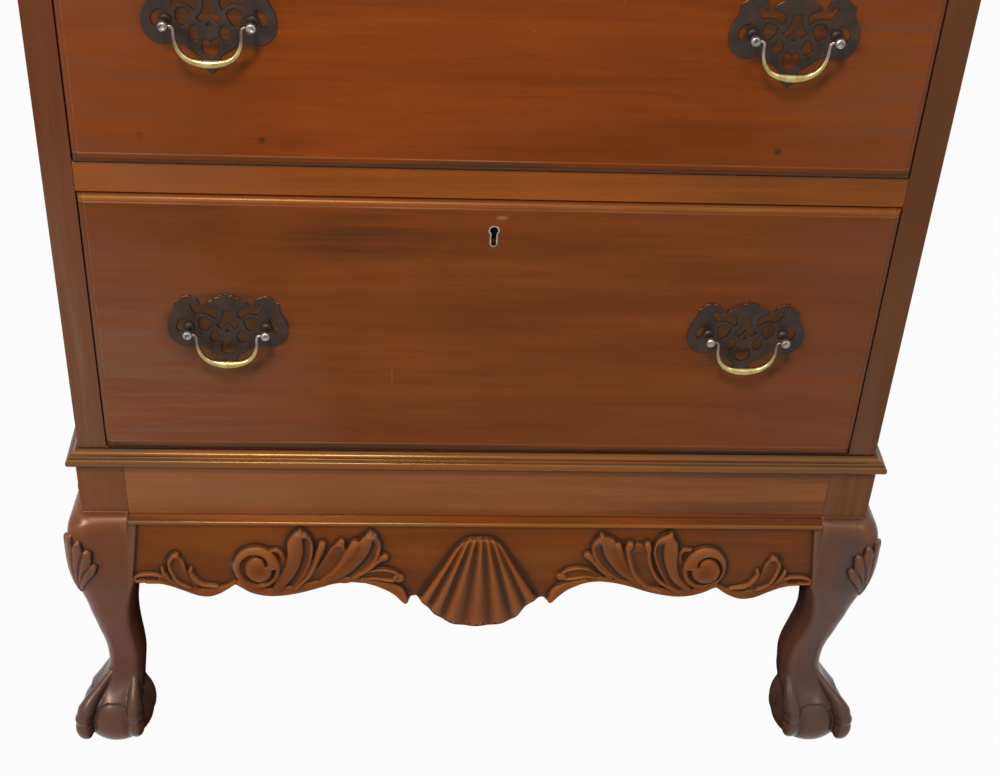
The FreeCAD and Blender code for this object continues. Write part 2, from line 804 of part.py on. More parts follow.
def make_leg():
    """The front right leg: post, knee, ankle, ball and four talons."""
    post = block(apron_half, stand_x, -stand_y, -stand_y + post_size, knee_top, stand_height)
    shank = Part.makeLoft([leg_section(*row) for row in leg_profile()], True, False)
    ball = Part.makeSphere(ball_radius, leg_point(-foot_inset, -foot_inset, ball_radius - ball_flat))
    talons = [make_talon(side_x, side_y) for side_x in (1, -1) for side_y in (1, -1)]
    leg = post.fuse([shank, ball] + talons)
    reach = 4 * post_size
    floor_room = block(stand_x - reach, stand_x + reach, -stand_y - reach, -stand_y + reach, -reach, 0)
    rails_room = [block(stand_x - reach, apron_half, -stand_y - reach, reach, knee_top / 2, stand_height),
                  block(stand_x - reach, stand_x + reach, -stand_y + post_size, reach,
                        knee_top / 2, stand_height)]
    return leg.cut([floor_room] + rails_room).removeSplitter()


# Aprons

def apron_runs():
    """Right half of the front apron's outline, from the top middle round to the bottom middle."""
    half = apron_half
    top = knee_top
    end, lobe, cusp = top - apron_end_drop, top - apron_lobe_drop, top - apron_cusp_drop
    arch, tip, shell = top - apron_arch_drop, top - leaf_tip_drop, top - shell_drop
    notch = lobe + 4.5
    lobe_x = 0.8 * half
    cusp_x = 0.713 * half
    volute_x = 0.6 * half
    arch_x = 0.37 * half
    tip_x = shell_half_width + 14
    notch_x = shell_half_width
    return [
        [(0, top), (half, top)],
        [(half, top), (half, end)],
        [(half, end), (0.942 * half, end + 5.5), (0.873 * half, (end + lobe) / 2 + 3.5),
         (lobe_x, lobe), (0.75 * half, lobe + 6), (cusp_x, cusp)],
        [(cusp_x, cusp), (0.677 * half, cusp - 8.5), (volute_x, lobe + 2.5),
         (0.51 * half, (lobe + arch) / 2 - 3), (0.436 * half, arch - 5), (arch_x, arch),
         (0.312 * half, arch - 3), (0.26 * half, (arch + tip) / 2), (tip_x, tip)],
        [(tip_x, tip), (tip_x - 6, tip + 9), (notch_x, notch)],
        [(notch_x, notch), (0.8 * notch_x, 0.57 * notch + 0.43 * shell),
         (0.6 * notch_x, 0.74 * shell + 0.26 * notch), (0.36 * notch_x, shell + 2.5), (0, shell)],
    ]


def apron_prism(y0, y1):
    right = [level(run, y0) for run in apron_runs()]
    return prism(both_halves(right), vec(0, y1 - y0, 0))


def make_front_apron():
    """The shaped board with a rounded ledge along its top and a sunk ground for the carving."""
    board = apron_prism(apron_front, apron_front + apron_thickness)
    ledge = [edge for edge in board.Edges
             if abs(edge.CenterOfMass.z - knee_top) < 0.01 and abs(edge.CenterOfMass.y - apron_front) < 0.01]
    board = board.makeFillet(apron_nose_radius, ledge)
    half = apron_half - apron_border
    ground = block(-half, half, apron_front - overshoot, apron_ground, 0, knee_top - apron_nose)
    return board.cut(ground)


def make_side_apron():
    """A plain shaped board under the right side rail, with a rounded ledge."""
    half = stand_y - post_size
    top = knee_top
    end = top - apron_end_drop
    lobe = top - side_apron_lobe_drop
    arch = top - side_apron_arch_drop
    outline = [[(0, top), (half, top)], [(half, top), (half, end)],
               [(half, end), (0.9 * half, end + 7), (0.62 * half, arch), (0.3 * half, (arch + lobe) / 2),
                (0, lobe)]]
    x = stand_x + apron_projection
    back_half = [[(-p, q) for p, q in reversed(run)] for run in reversed(outline)]
    runs = [[vec(x, p, q) for p, q in run] for run in outline + back_half]
    board = prism(runs, vec(-apron_thickness, 0, 0))
    ledge = [edge for edge in board.Edges
             if abs(edge.CenterOfMass.z - top) < 0.01 and abs(edge.CenterOfMass.x - x) < 0.01]
    return board.makeFillet(apron_nose_radius, ledge)


def make_shell():
    """A fan of round ribs that spread from a point under the ledge, on a thin base."""
    apex = knee_top - shell_apex_drop
    length = apex - (knee_top - shell_drop)
    step = 2 * shell_half_angle / (shell_rib_count - 1)
    foot_radius = length * math.tan(math.radians(step / 2))
    ribs = []
    for i in range(shell_rib_count):
        angle = math.radians(-shell_half_angle + i * step)
        along = vec(math.sin(angle), 0, -math.cos(angle))
        ribs.append(Part.makeCone(0, foot_radius, length, vec(0, apron_ground - shell_base, apex), along))
    edge = math.radians(shell_half_angle + step / 2)
    reach = length / math.cos(edge)
    points = [vec(0, apron_ground, apex), vec(reach * math.sin(edge), apron_ground, apex - length),
              vec(-reach * math.sin(edge), apron_ground, apex - length)]
    fan = Part.Face(Part.makePolygon(points + points[:1]))
    base = fan.extrude(vec(0, -shell_base, 0))
    depth = shell_base + 2 * foot_radius
    room = apron_prism(apron_ground - depth, apron_ground)
    room = room.common(block(-shell_half_width, shell_half_width, apron_ground - depth, apron_ground,
                             0, knee_top - shell_top_drop))
    return base.fuse(ribs).common(room).removeSplitter()


def spray_runs():
    """Outline of the right leaf spray, whose lower side lies along the apron's edge."""
    top = knee_top
    tip_x = shell_half_width + 14
    x = volute_offset
    low = top - leaf_tip_drop
    return [
        [(x - 10, top - 36), (x - 30, top - 20), (x - 46, top - 9)],
        [(x - 46, top - 9), (x - 56, top - 14), (x - 61, top - 24)],
        [(x - 61, top - 24), (x - 78, top - 16), (x - 92, top - 20)],
        [(x - 92, top - 20), (x - 108, top - 10), (x - 123, top - 9)],
        [(x - 123, top - 9), (x - 136, top - 22), (x - 143, top - 46)],
        [(x - 143, top - 46), (0.5 * (x - 143 + tip_x), top - 59), (tip_x, top - 78)],
        [(tip_x, top - 78), (tip_x - 4, low)],
        [(tip_x - 4, low), (x - 10, low)],
        [(x - 10, low), (x - 10, top - 36)],
    ]


def end_leaf_runs():
    """Outline of the small leaf at the right end of the apron."""
    top = knee_top
    half = apron_half
    low = top - leaf_tip_drop
    return [
        [(half - 10, top - 76), (half - 22, top - 70), (half - 38, top - 53)],
        [(half - 38, top - 53), (half - 45, top - 45), (half - 50, top - 39)],
        [(half - 50, top - 39), (half - 59, top - 46), (half - 62, top - 61)],
        [(half - 62, top - 61), (half - 74, top - 78), (half - 96, top - 88)],
        [(half - 96, top - 88), (half - 108, low)],
        [(half - 108, low), (half - 10, low)],
        [(half - 10, low), (half - 10, top - 76)],
    ]


def make_leaves():
    """Two leaf sprays with volutes and two end leaves, in low relief on the apron's ground."""
    push = vec(0, leaf_relief, 0)
    y = apron_ground - leaf_relief
    room = apron_prism(y - volute_relief, apron_ground)
    volute_z = knee_top - volute_drop
    volute = along_y(volute_radius, volute_offset, volute_z, y - volute_relief, apron_ground)
    spray = prism([level(run, y) for run in spray_runs()], push).fuse(volute).common(room)
    leaf = prism([level(run, y) for run in end_leaf_runs()], push).common(room)
    shapes = [spray.removeSplitter(), leaf.removeSplitter()]
    return [mirror_x(shape) for shape in shapes] + shapes


def build_stand():
    save("stand_rails", make_stand_rails())
    leg = make_leg()
    save("front_right_leg", [leg])
    save("front_left_leg", [mirror_x(leg)])
    save("back_right_leg", [mirror_y(leg)])
    save("back_left_leg", [mirror_x(mirror_y(leg))])
    save("front_apron", [make_front_apron()])
    side_apron = make_side_apron()
    save("side_aprons", [mirror_x(side_apron), side_apron])
    save("apron_shell", [make_shell()])
    save("apron_leaves", make_leaves())
    save("waist_moulding", mitred_moulding(waist_profile(), stand_height, case_back))


def build_case():
    save("right_side_panel", [make_side()])
    save("left_side_panel", [mirror_x(make_side())])
    save("right_stile", [make_stile()])
    save("left_stile", [mirror_x(make_stile())])
    save("drawer_rails", make_rails())
    save("small_drawer_divider", [make_divider()])
    save("drawer_runners", make_runners() + make_stops())
    save("case_bottom", [make_case_bottom()])
    save("back_panel", [make_back()])
    save("top_board", [make_top()])
    save("cornice_moulding", mitred_moulding(cornice_profile(), case_top - cornice_height, case_back))


def build_drawer(opening):
    name = opening[0] + "_drawer"
    size = drawer_sizes(opening)
    handles = handle_places(opening, size)
    locked = len(handles) > 1
    z = handle_level(size)
    save(name + "_front", [make_front(size, handles, locked)])
    save(name + "_box", make_box(size))
    save(name + "_bottom", [make_panel(size)])
    save(name + "_backplates", [make_plate(x, z) for x in handles])
    save(name + "_posts", [solid for x in handles for solid in make_posts(x, z)])
    if locked:
        save(name + "_left_bail", [make_bail(handles[0], z)])
        save(name + "_right_bail", [make_bail(handles[1], z)])
        save(name + "_lock", make_lock(size))
        save(name + "_lock_bolt", [make_bolt(size)])
    else:
        save(name + "_bail", [make_bail(handles[0], z)])


build_stand()
build_case()
for drawer_opening in openings:
    build_drawer(drawer_opening)
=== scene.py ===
"""Looks of the highboy: procedural mahogany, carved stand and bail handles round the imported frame."""
import json
import math

import bpy
import numpy as np
from mathutils import Matrix, Vector

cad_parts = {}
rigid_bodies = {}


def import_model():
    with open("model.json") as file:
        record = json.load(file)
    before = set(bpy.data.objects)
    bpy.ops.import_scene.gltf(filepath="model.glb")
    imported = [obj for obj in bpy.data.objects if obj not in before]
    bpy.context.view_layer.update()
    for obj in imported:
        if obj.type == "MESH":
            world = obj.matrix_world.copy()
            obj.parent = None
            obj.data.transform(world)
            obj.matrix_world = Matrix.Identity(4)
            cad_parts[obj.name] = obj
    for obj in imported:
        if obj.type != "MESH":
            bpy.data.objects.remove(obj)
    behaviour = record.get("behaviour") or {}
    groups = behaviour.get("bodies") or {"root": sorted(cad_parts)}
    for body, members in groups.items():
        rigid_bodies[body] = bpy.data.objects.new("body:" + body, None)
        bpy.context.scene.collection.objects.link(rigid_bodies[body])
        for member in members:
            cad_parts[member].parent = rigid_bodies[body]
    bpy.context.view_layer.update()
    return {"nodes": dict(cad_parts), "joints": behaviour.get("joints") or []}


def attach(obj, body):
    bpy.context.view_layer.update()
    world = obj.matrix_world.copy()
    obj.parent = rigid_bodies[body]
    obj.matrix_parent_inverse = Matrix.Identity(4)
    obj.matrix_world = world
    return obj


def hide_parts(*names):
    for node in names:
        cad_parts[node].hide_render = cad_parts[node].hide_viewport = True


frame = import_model()
nodes = frame["nodes"]
scene = bpy.context.scene

# Sizes shared with the solids, in millimetres
STAND_X, STAND_Y = 428.0, 234.0
POST = 50.0
STAND_TOP, KNEE_TOP = 413.0, 343.0
APRON_HALF = STAND_X - POST
APRON_FRONT, APRON_GROUND, APRON_BACK = -247.0, -243.0, -223.0
APRON_NOSE, APRON_BORDER = 5.0, 8.0
GROUND_TOP = KNEE_TOP - APRON_NOSE
FRONT_FACE, FRONT_BACK = -235.0, -211.0
CASE_X, CASE_FRONT, CASE_BACK = 424.0, -230.0, 230.0
PLATE = 1.8
POST_SPREAD = 38.0
POST_EASE, LEG_VOXEL = 0.35, 1.2
BALL, BALL_Z, BALL_IN, SKIN = 41.5, 33.0, 10.0, 3.8


# Meshes

def smoothstep(t):
    """A soft step from 0 to 1 while t goes from 0 to 1."""
    t = np.clip(t, 0.0, 1.0)
    return t * t * (3 - 2 * t)


def arch(a, power=2):
    """Height of a round section at a place across it: 1 in the middle, 0 from a = 1 on."""
    return np.sqrt(np.clip(1 - a ** power, 0, 1))


def bell(t, width):
    """1 at t = 0, falling off over the width on both sides."""
    return np.exp(-(t / width) ** 2)


def catmull(points, count):
    """A smooth run of count points through the given ones, with even steps of their index."""
    p = np.array(points, float)
    p = np.vstack([2 * p[0] - p[1], p, 2 * p[-1] - p[-2]])
    u = np.linspace(0, len(points) - 1, count)
    i = np.minimum(u.astype(int), len(points) - 2)
    t = (u - i)[:, None]
    a, b, c, d = p[i], p[i + 1], p[i + 2], p[i + 3]
    square = (2 * a - 5 * b + 4 * c - d) * t ** 2
    cube = (3 * b - a - 3 * c + d) * t ** 3
    return 0.5 * (2 * b + (c - a) * t + square + cube)


def linked(name, data):
    """A new object in the scene."""
    obj = bpy.data.objects.new(name, data)
    scene.collection.objects.link(obj)
    return obj


def mesh_object(name, verts, faces):
    """A new smooth object in the scene from points in millimetres."""
    mesh = bpy.data.meshes.new(name)
    mesh.from_pydata((np.asarray(verts, float) / 1000).tolist(), [], [list(f) for f in faces])
    mesh.validate()
    mesh.polygons.foreach_set("use_smooth", [True] * len(mesh.polygons))
    return linked(name, mesh)


def dress(obj, *materials):
    """Gives an object these materials and no others."""
    obj.data.materials.clear()
    for material in materials:
        obj.data.materials.append(material)


def ring_faces(rows, cols, closed=True):
    """Quads between rows of points, each row a ring of cols points."""
    faces = []
    last = cols if closed else cols - 1
    for r in range(rows - 1):
        for c in range(last):
            d = (c + 1) % cols
            faces.append((r * cols + c, r * cols + d, (r + 1) * cols + d, (r + 1) * cols + c))
    return faces


def rings_mesh(rings):
    """Points and faces of a closed skin over a row of rings, capped at both ends."""
    rows, cols = len(rings), len(rings[0])
    verts = np.vstack(rings)
    faces = ring_faces(rows, cols)
    faces.append(tuple(reversed(range(cols))))
    faces.append(tuple((rows - 1) * cols + c for c in range(cols)))
    return verts, faces


def tube(path, radii, sides):
    """Rings of a round tube along a path."""
    path = np.array(path, float)
    ahead = np.gradient(path, axis=0)
    ahead /= np.linalg.norm(ahead, axis=1)[:, None]
    side = np.cross(ahead[0], [0.3, 0.5, 0.81])
    angle = np.linspace(0, 2 * math.pi, sides, endpoint=False)
    rings = []
    for p, t, r in zip(path, ahead, radii):
        side = side - t * np.dot(side, t)
        side /= np.linalg.norm(side)
        up = np.cross(t, side)
        rings.append(p + r * (np.cos(angle)[:, None] * side + np.sin(angle)[:, None] * up))
    return rings


def lathe(profile, sides=28):
    """Rings about the Y axis from pairs of (radius, y)."""
    angle = np.linspace(0, 2 * math.pi, sides, endpoint=False)
    x, z = np.cos(angle), np.sin(angle)
    return [np.stack([r * x, np.full(sides, y), r * z], axis=1) for r, y in profile]


def join(parts):
    """One list of points and faces from several."""
    verts, faces = [], []
    for v, f in parts:
        start = sum(len(x) for x in verts)
        verts.append(np.asarray(v, float))
        faces += [tuple(i + start for i in face) for face in f]
    return np.vstack(verts), faces


def remeshed(verts, faces, voxel):
    """Points and faces of the union of closed skins, as even small quads."""
    obj = mesh_object("remesh_work", verts, faces)
    mod = obj.modifiers.new("union", "REMESH")
    mod.mode = "VOXEL"
    mod.voxel_size = voxel / 1000
    deps = bpy.context.evaluated_depsgraph_get()
    mesh = bpy.data.meshes.new_from_object(obj.evaluated_get(deps))
    co = np.empty(len(mesh.vertices) * 3)
    mesh.vertices.foreach_get("co", co)
    quads = [tuple(p.vertices) for p in mesh.polygons]
    old = obj.data
    bpy.data.objects.remove(obj)
    bpy.data.meshes.remove(old)
    bpy.data.meshes.remove(mesh)
    return co.reshape(-1, 3) * 1000, quads


def edge_pairs(faces):
    """Pairs of points that share an edge."""
    pairs = set()
    for f in faces:
        for a, b in zip(f, f[1:] + f[:1]):
            pairs.add((min(a, b), max(a, b)))
    return np.array(sorted(pairs))


def relaxed(verts, pairs, rounds, amount=0.5):
    """Points drawn towards the mean of their neighbours."""
    v = verts.copy()
    count = np.maximum(np.bincount(pairs.ravel(), minlength=len(v)), 1)[:, None]
    for _ in range(rounds):
        total = np.zeros_like(v)
        for k in range(v.shape[1]):
            total[:, k] += np.bincount(pairs[:, 0], v[pairs[:, 1], k], len(v))
            total[:, k] += np.bincount(pairs[:, 1], v[pairs[:, 0], k], len(v))
        v += amount * (total / count - v)
    return v


def vertex_normals(verts, quads):
    """Normals of the points, from the quads round them."""
    q = np.array(quads)
    n = np.cross(verts[q[:, 2]] - verts[q[:, 0]], verts[q[:, 3]] - verts[q[:, 1]])
    total = np.zeros_like(verts)
    for k in range(4):
        np.add.at(total, q[:, k], n)
    return total / np.maximum(np.linalg.norm(total, axis=1), 1e-12)[:, None]


def hollow_tone(verts, quads, scales):
    """From 0 in hollows to 1 on ridges, by how far each point stands off its smoothed place.

    Scales are (rounds of smoothing, distance for the full tone, weight).
    """
    pairs = edge_pairs(quads)
    normal = vertex_normals(verts, quads)
    tone = np.full(len(verts), 0.5)
    for rounds, full, weight in scales:
        off = ((verts - relaxed(verts, pairs, rounds)) * normal).sum(1)
        tone += 0.5 * weight * np.clip(off / full, -1, 1)
    return np.clip(tone, 0, 1)


def set_tone(obj, tone, name="carve"):
    """Stores a value per point for the materials to read."""
    layer = obj.data.attributes.new(name, "FLOAT", "POINT")
    layer.data.foreach_set("value", np.asarray(tone, np.float32))


# Materials

class Tree:
    """The node tree of a material or the world, emptied, with short calls for the nodes used here."""

    def __init__(self, owner):
        owner.use_nodes = True
        self.tree = owner.node_tree
        self.tree.nodes.clear()

    def set(self, socket, value):
        """Links a socket or sets its value."""
        if hasattr(value, "is_output"):
            self.tree.links.new(value, socket)
        else:
            socket.default_value = value

    def node(self, kind, *values, **settings):
        """A new node: values go to its first inputs, settings to its properties."""
        node = self.tree.nodes.new(kind)
        for key, value in settings.items():
            setattr(node, key, value)
        for socket, value in zip(node.inputs, values):
            self.set(socket, value)
        return node

    def math(self, kind, a, b=0.0, c=0.0):
        return self.node("ShaderNodeMath", a, b, c, operation=kind).outputs[0]

    def total(self, *pairs):
        """Sum of (value, weight) pairs."""
        result = self.math("MULTIPLY", *pairs[0])
        for value, weight in pairs[1:]:
            result = self.math("MULTIPLY_ADD", value, weight, result)
        return result

    def span(self, value, a, b, c, d):
        """Value from a..b carried to c..d and held there."""
        return self.node("ShaderNodeMapRange", value, a, b, c, d).outputs[0]


class Surface(Tree):
    """A material round one principled shader, with patterns that lie in the object's own frame."""

    def __init__(self, name):
        self.mat = bpy.data.materials.new(name)
        super().__init__(self.mat)
        self.shader = self.node("ShaderNodeBsdfPrincipled")
        self.node("ShaderNodeOutputMaterial", self.shader.outputs[0])
        self.place = self.node("ShaderNodeTexCoord").outputs["Object"]

    def noise(self, scale, shift, detail=3.0, rough=0.55, twist=0.0):
        node = self.node("ShaderNodeTexNoise")
        place = self.node("ShaderNodeMapping", self.place, shift, (0, 0, 0), scale)
        self.set(node.inputs["Vector"], place.outputs[0])
        looks = {"Scale": 1.0, "Detail": detail, "Roughness": rough, "Distortion": twist}
        for name, value in looks.items():
            self.set(node.inputs[name], value)
        return node.outputs[0]

    def streaks(self, axis, fine, wide, shift, *rest):
        """Noise drawn out along an axis."""
        return self.noise(along(axis, fine, wide), shift, *rest)

    def clouds(self, size, detail=3.0, rough=0.6, shift=(0, 0, 0)):
        """Noise alike in all directions."""
        return self.noise((size, size, size), shift, detail, rough)

    def uneven(self, noise, low, high):
        """A roughness that follows a noise."""
        return self.span(noise, 0.3, 0.7, low, high)

    def ramp(self, fac, stops):
        """Colours at (place, colour) stops."""
        node = self.node("ShaderNodeValToRGB", fac)
        elements = node.color_ramp.elements
        while len(elements) < len(stops):
            elements.new(0.5)
        for element, (at, colour) in zip(elements, stops):
            element.position = at
            element.color = (*colour, 1)
        return node.outputs[0]

    def mix(self, fac, a, b):
        node = self.node("ShaderNodeMix", fac, data_type="RGBA")
        for socket, value in ((node.inputs[6], a), (node.inputs[7], b)):
            self.set(socket, (*value, 1) if isinstance(value, tuple) else value)
        return node.outputs[2]

    def attribute(self, name):
        return self.node("ShaderNodeAttribute", attribute_name=name).outputs["Fac"]

    def axis(self, index):
        return self.node("ShaderNodeSeparateXYZ", self.place).outputs[index]

    def bump(self, height, strength, distance):
        node = self.node("ShaderNodeBump")
        for name, value in (("Strength", strength), ("Distance", distance), ("Height", height)):
            self.set(node.inputs[name], value)
        self.set(self.shader.inputs["Normal"], node.outputs[0])

    def finish(self, colour, rough, metallic=0.0, specular=0.5, warm=(1, 1, 1)):
        """Sets the shader and gives the material."""
        looks = {"Base Color": colour, "Roughness": rough, "Metallic": metallic,
                 "Specular IOR Level": specular, "Specular Tint": (*warm, 1)}
        for name, value in looks.items():
            self.set(self.shader.inputs[name], value)
        return self.mat


def along(axis, fine, wide):
    """Scale of a pattern that runs along an axis."""
    return tuple(fine if i == "XYZ".index(axis) else wide for i in range(3))


def spot(tree, x, z, rx, rz):
    """From 1 at a place on the front to 0 at the edge of an oval round it, in metres."""
    dx = tree.math("DIVIDE", tree.math("SUBTRACT", tree.axis(0), x), rx)
    dz = tree.math("DIVIDE", tree.math("SUBTRACT", tree.axis(2), z), rz)
    r = tree.math("ADD", tree.math("MULTIPLY", dx, dx), tree.math("MULTIPLY", dz, dz))
    return tree.span(r, 0.0, 1.0, 1.0, 0.0)


MAHOGANY = ((0.150, 0.030, 0.0045), (0.184, 0.038, 0.0058), (0.224, 0.050, 0.0085))
# Dark wood for grain, knots and marks, and a dark brown for painted shade on the drawers' lower lips and,
# with dirt, behind their handles
DARK_WOOD, DARK_SHADE_BROWN = (0.035, 0.010, 0.004), (0.045, 0.016, 0.009)
# A painted highlight on the drawers' upper lips
LIP_HIGHLIGHT = (0.30, 0.115, 0.036)
PALE_WOOD = (0.22, 0.070, 0.012)
CHIP = (0.55, 0.46, 0.38)
# Pale flecks and wear, and painted highlights along the drawers' arrises
PALE_WEAR_AND_HIGHLIGHT = (0.42, 0.22, 0.11)
# A painted pinkish sheen of reflected light on the outer parts of the front
ROSY_SHEEN, MUTED_SHEEN = (0.150, 0.056, 0.038), (0.180, 0.086, 0.060)
# A dark grey brown for the feet and for painted shade on the right legs, and a painted shade where less light
# falls, on the right and at the ends
DARK_GREY_BROWN, SIDE_SHADE = (0.055, 0.034, 0.030), (0.085, 0.030, 0.016)
# Painted shade on faces turned inwards or down, and the darkest hollows of the carving
SHADED_FACE_COLOUR, DEEPEST = (0.028, 0.018, 0.018), (0.014, 0.006, 0.004)
# Painted black for the shade inside the keyhole
KEYHOLE_SHADE = (0.012, 0.010, 0.009)
AMBER, ROSE = (1.0, 0.62, 0.22), (1.0, 0.74, 0.58)
# Specular level, roughness and tint of the wood's finish
SATIN = (0.36, 0.27, AMBER)
POLISH = (0.50, 0.24, AMBER)
WAXED = (0.42, 0.29, ROSE)
GILT = (0.62, 0.21, (1.0, 0.70, 0.27))
CARVED = (0.26, 0.38, AMBER)


def mahogany(name, axis, shift, tint=(1, 1, 1), gloss=SATIN, marks=(), figure=1.0):
    """The tree and colour of polished mahogany with its grain along an axis.

    Marks are spots on the front as (x, z, rx, rz, depth, colour), gloss is a finish such as SATIN.
    """
    t = Surface(name)
    broad = t.streaks(axis, 2.2, 17, shift, 3.0, 0.55, 0.5)
    streak = t.streaks(axis, 5.0, 105, shift, 4.0, 0.6, 0.3)
    fine = t.streaks(axis, 26, 820, shift, 3.0, 0.6)
    cloud = t.streaks(axis, 5.5, 3.4, shift, 3.0, 0.5, 0.4)
    grain = t.total((broad, 0.52), (streak, 0.34), (fine, 0.14))
    low, mid, high = ([c * k for c, k in zip(tone, tint)] for tone in MAHOGANY)
    reach = 0.105 / figure
    colour = t.ramp(grain, [(0.5 - reach, low), (0.5, mid), (0.5 + reach, high)])
    dim = t.node("ShaderNodeHueSaturation")
    t.set(dim.inputs["Color"], colour)
    t.set(dim.inputs["Value"], t.span(cloud, 0.32, 0.68, 0.87, 1.07))
    colour = dim.outputs[0]
    pores = t.span(t.streaks(axis, 60, 1500, shift, 2.0, 0.5), 0.61, 0.72, 0.0, 0.22)
    colour = t.mix(pores, colour, DARK_WOOD)
    fleck = t.clouds(330, 1.0, 0.5, shift)
    colour = t.mix(t.span(fleck, 0.80, 0.84, 0.0, 0.35), colour, PALE_WEAR_AND_HIGHLIGHT)
    for x, z, rx, rz, depth, stain in marks:
        grip = t.span(streak, 0.40, 0.58, depth, 0.35 * depth)
        colour = t.mix(t.math("MULTIPLY", spot(t, x, z, rx, rz), grip), colour, stain)
    t.bump(t.math("SUBTRACT", fine, pores), 0.05, 0.0004)
    specular, rough, warm = gloss
    uneven = t.uneven(streak, rough - 0.03, rough + 0.05)
    t.finish(colour, uneven, specular=specular, warm=warm)
    return t, colour


def polished(*args, **kwargs):
    """Plain mahogany, with what mahogany() takes."""
    return mahogany(*args, **kwargs)[0].mat


def carved_wood(*args, hollow=(0.034, 0.014, 0.008), wear_and_sheen=(0.28, 0.094, 0.030), **kwargs):
    """Mahogany, darker in the hollows of its carving and lighter on its ridges, as patina and wear with
    painted shade and highlight, and duller and darker on faces turned inwards or down, a painted shade.
    """
    t, colour = mahogany(*args, **kwargs)
    dull_and_shaded = t.attribute("dull_and_shaded")
    level = t.shader.inputs["Specular IOR Level"]
    t.set(level, t.span(dull_and_shaded, 0.0, 1.0, level.default_value, 0.0))
    height = t.axis(2)
    # Painted shade on faces turned inwards or down, stronger higher up
    shade = t.math("MULTIPLY", dull_and_shaded, t.span(height, 0.15, 0.25, 0.35, 0.7))
    colour = t.mix(shade, colour, SHADED_FACE_COLOUR)
    tone = t.attribute("carve")
    # Hollows darker and ridges lighter: patina and wear, with painted shade in the hollows and painted
    # highlight on the ridges
    patchy = t.span(t.clouds(60), 0.35, 0.65, 0.66, 1.0)
    colour = t.mix(t.math("MULTIPLY", patchy, t.span(tone, 0.14, 0.49, 0.82, 0.0)), colour, hollow)
    colour = t.mix(t.span(tone, 0.02, 0.20, 0.68, 0.0), colour, DEEPEST)
    colour = t.mix(t.span(tone, 0.55, 0.92, 0.0, 0.75), colour, wear_and_sheen)
    # Darker on the feet, low above the floor
    rising = t.span(height, 0.012, 0.060, 0.20, 0.74)
    falling = t.span(height, 0.085, 0.125, 1.0, 0.0)
    colour = t.mix(t.math("MULTIPLY", rising, falling), colour, DARK_GREY_BROWN)
    t.set(t.shader.inputs["Base Color"], colour)
    return t.mat


def plain_wood(name, axis):
    """Pale planed wood inside the case."""
    t = Surface(name)
    broad = t.streaks(axis, 2.0, 34, (0, 0, 0), 3.0, 0.55, 0.5)
    fine = t.streaks(axis, 16, 620, (0, 0, 0), 3.0, 0.6)
    low, mid, high = (0.24, 0.125, 0.055), (0.37, 0.215, 0.105), (0.48, 0.31, 0.165)
    colour = t.ramp(t.total((broad, 0.65), (fine, 0.35)), [(0.3, low), (0.5, mid), (0.7, high)])
    colour = t.mix(t.span(t.clouds(5), 0.5, 0.75, 0.0, 0.45), colour, (0.16, 0.085, 0.04))
    t.bump(fine, 0.1, 0.0005)
    return t.finish(colour, t.uneven(fine, 0.55, 0.72), specular=0.3)


def bronze(name, low, mid, high):
    """Dark brown patina of the backplates and posts, redder where it thins."""
    t = Surface(name)
    cloud = t.clouds(75, 4.0)
    colour = t.ramp(cloud, [(0.3, low), (0.52, mid), (0.75, high)])
    colour = t.mix(t.span(t.clouds(520, 2.0), 0.62, 0.8, 0.0, 0.4), colour, (0.10, 0.045, 0.024))
    t.bump(cloud, 0.12, 0.0006)
    return t.finish(colour, t.uneven(cloud, 0.36, 0.52), metallic=0.2, specular=0.3)


def worn_and_lit_edge(name):
    """Bare coppery metal on the backplates' upper edges: wear, and a painted highlight where they face up."""
    t = Surface(name)
    cloud = t.clouds(150)
    dark, bare, bright = (0.055, 0.026, 0.016), (0.30, 0.14, 0.06), (0.62, 0.38, 0.20)
    colour = t.ramp(cloud, [(0.42, dark), (0.60, bare), (0.75, bright)])
    return t.finish(colour, t.uneven(cloud, 0.46, 0.26), metallic=0.7)


def brass(name):
    """Bails: pale brass with wear on the grip, grey and coppery on the arms."""
    t = Surface(name)
    cloud = t.clouds(120, 4.0)
    low, mid, high = (0.31, 0.23, 0.08), (0.44, 0.35, 0.14), (0.58, 0.49, 0.25)
    bright = t.ramp(cloud, [(0.3, low), (0.55, mid), (0.8, high)])
    low, mid, high = (0.15, 0.09, 0.07), (0.26, 0.19, 0.16), (0.40, 0.34, 0.30)
    grey = t.ramp(t.clouds(45), [(0.35, low), (0.55, mid), (0.7, high)])
    colour = t.mix(t.attribute("carve"), grey, bright)
    t.bump(t.streaks("X", 60, 300, (0, 0, 0), 2.0, 0.5), 0.02, 0.0003)
    return t.finish(colour, t.uneven(cloud, 0.26, 0.36), metallic=1.0)


def worn_plating(name, low, high, rough, deep=1.0):
    """Grey metal with darker pits, for knobs and locks; painted black behind the depth, in metres, for the
    shade inside the keyhole.
    """
    t = Surface(name)
    cloud = t.clouds(260, 4.0)
    colour = t.ramp(cloud, [(0.32, low), (0.6, high)])
    colour = t.mix(t.span(t.axis(1), deep, deep + 0.0008, 0.0, 0.95), colour, KEYHOLE_SHADE)
    t.bump(cloud, 0.12, 0.0005)
    return t.finish(colour, t.uneven(cloud, rough + 0.14, rough), metallic=1.0)


# Handles

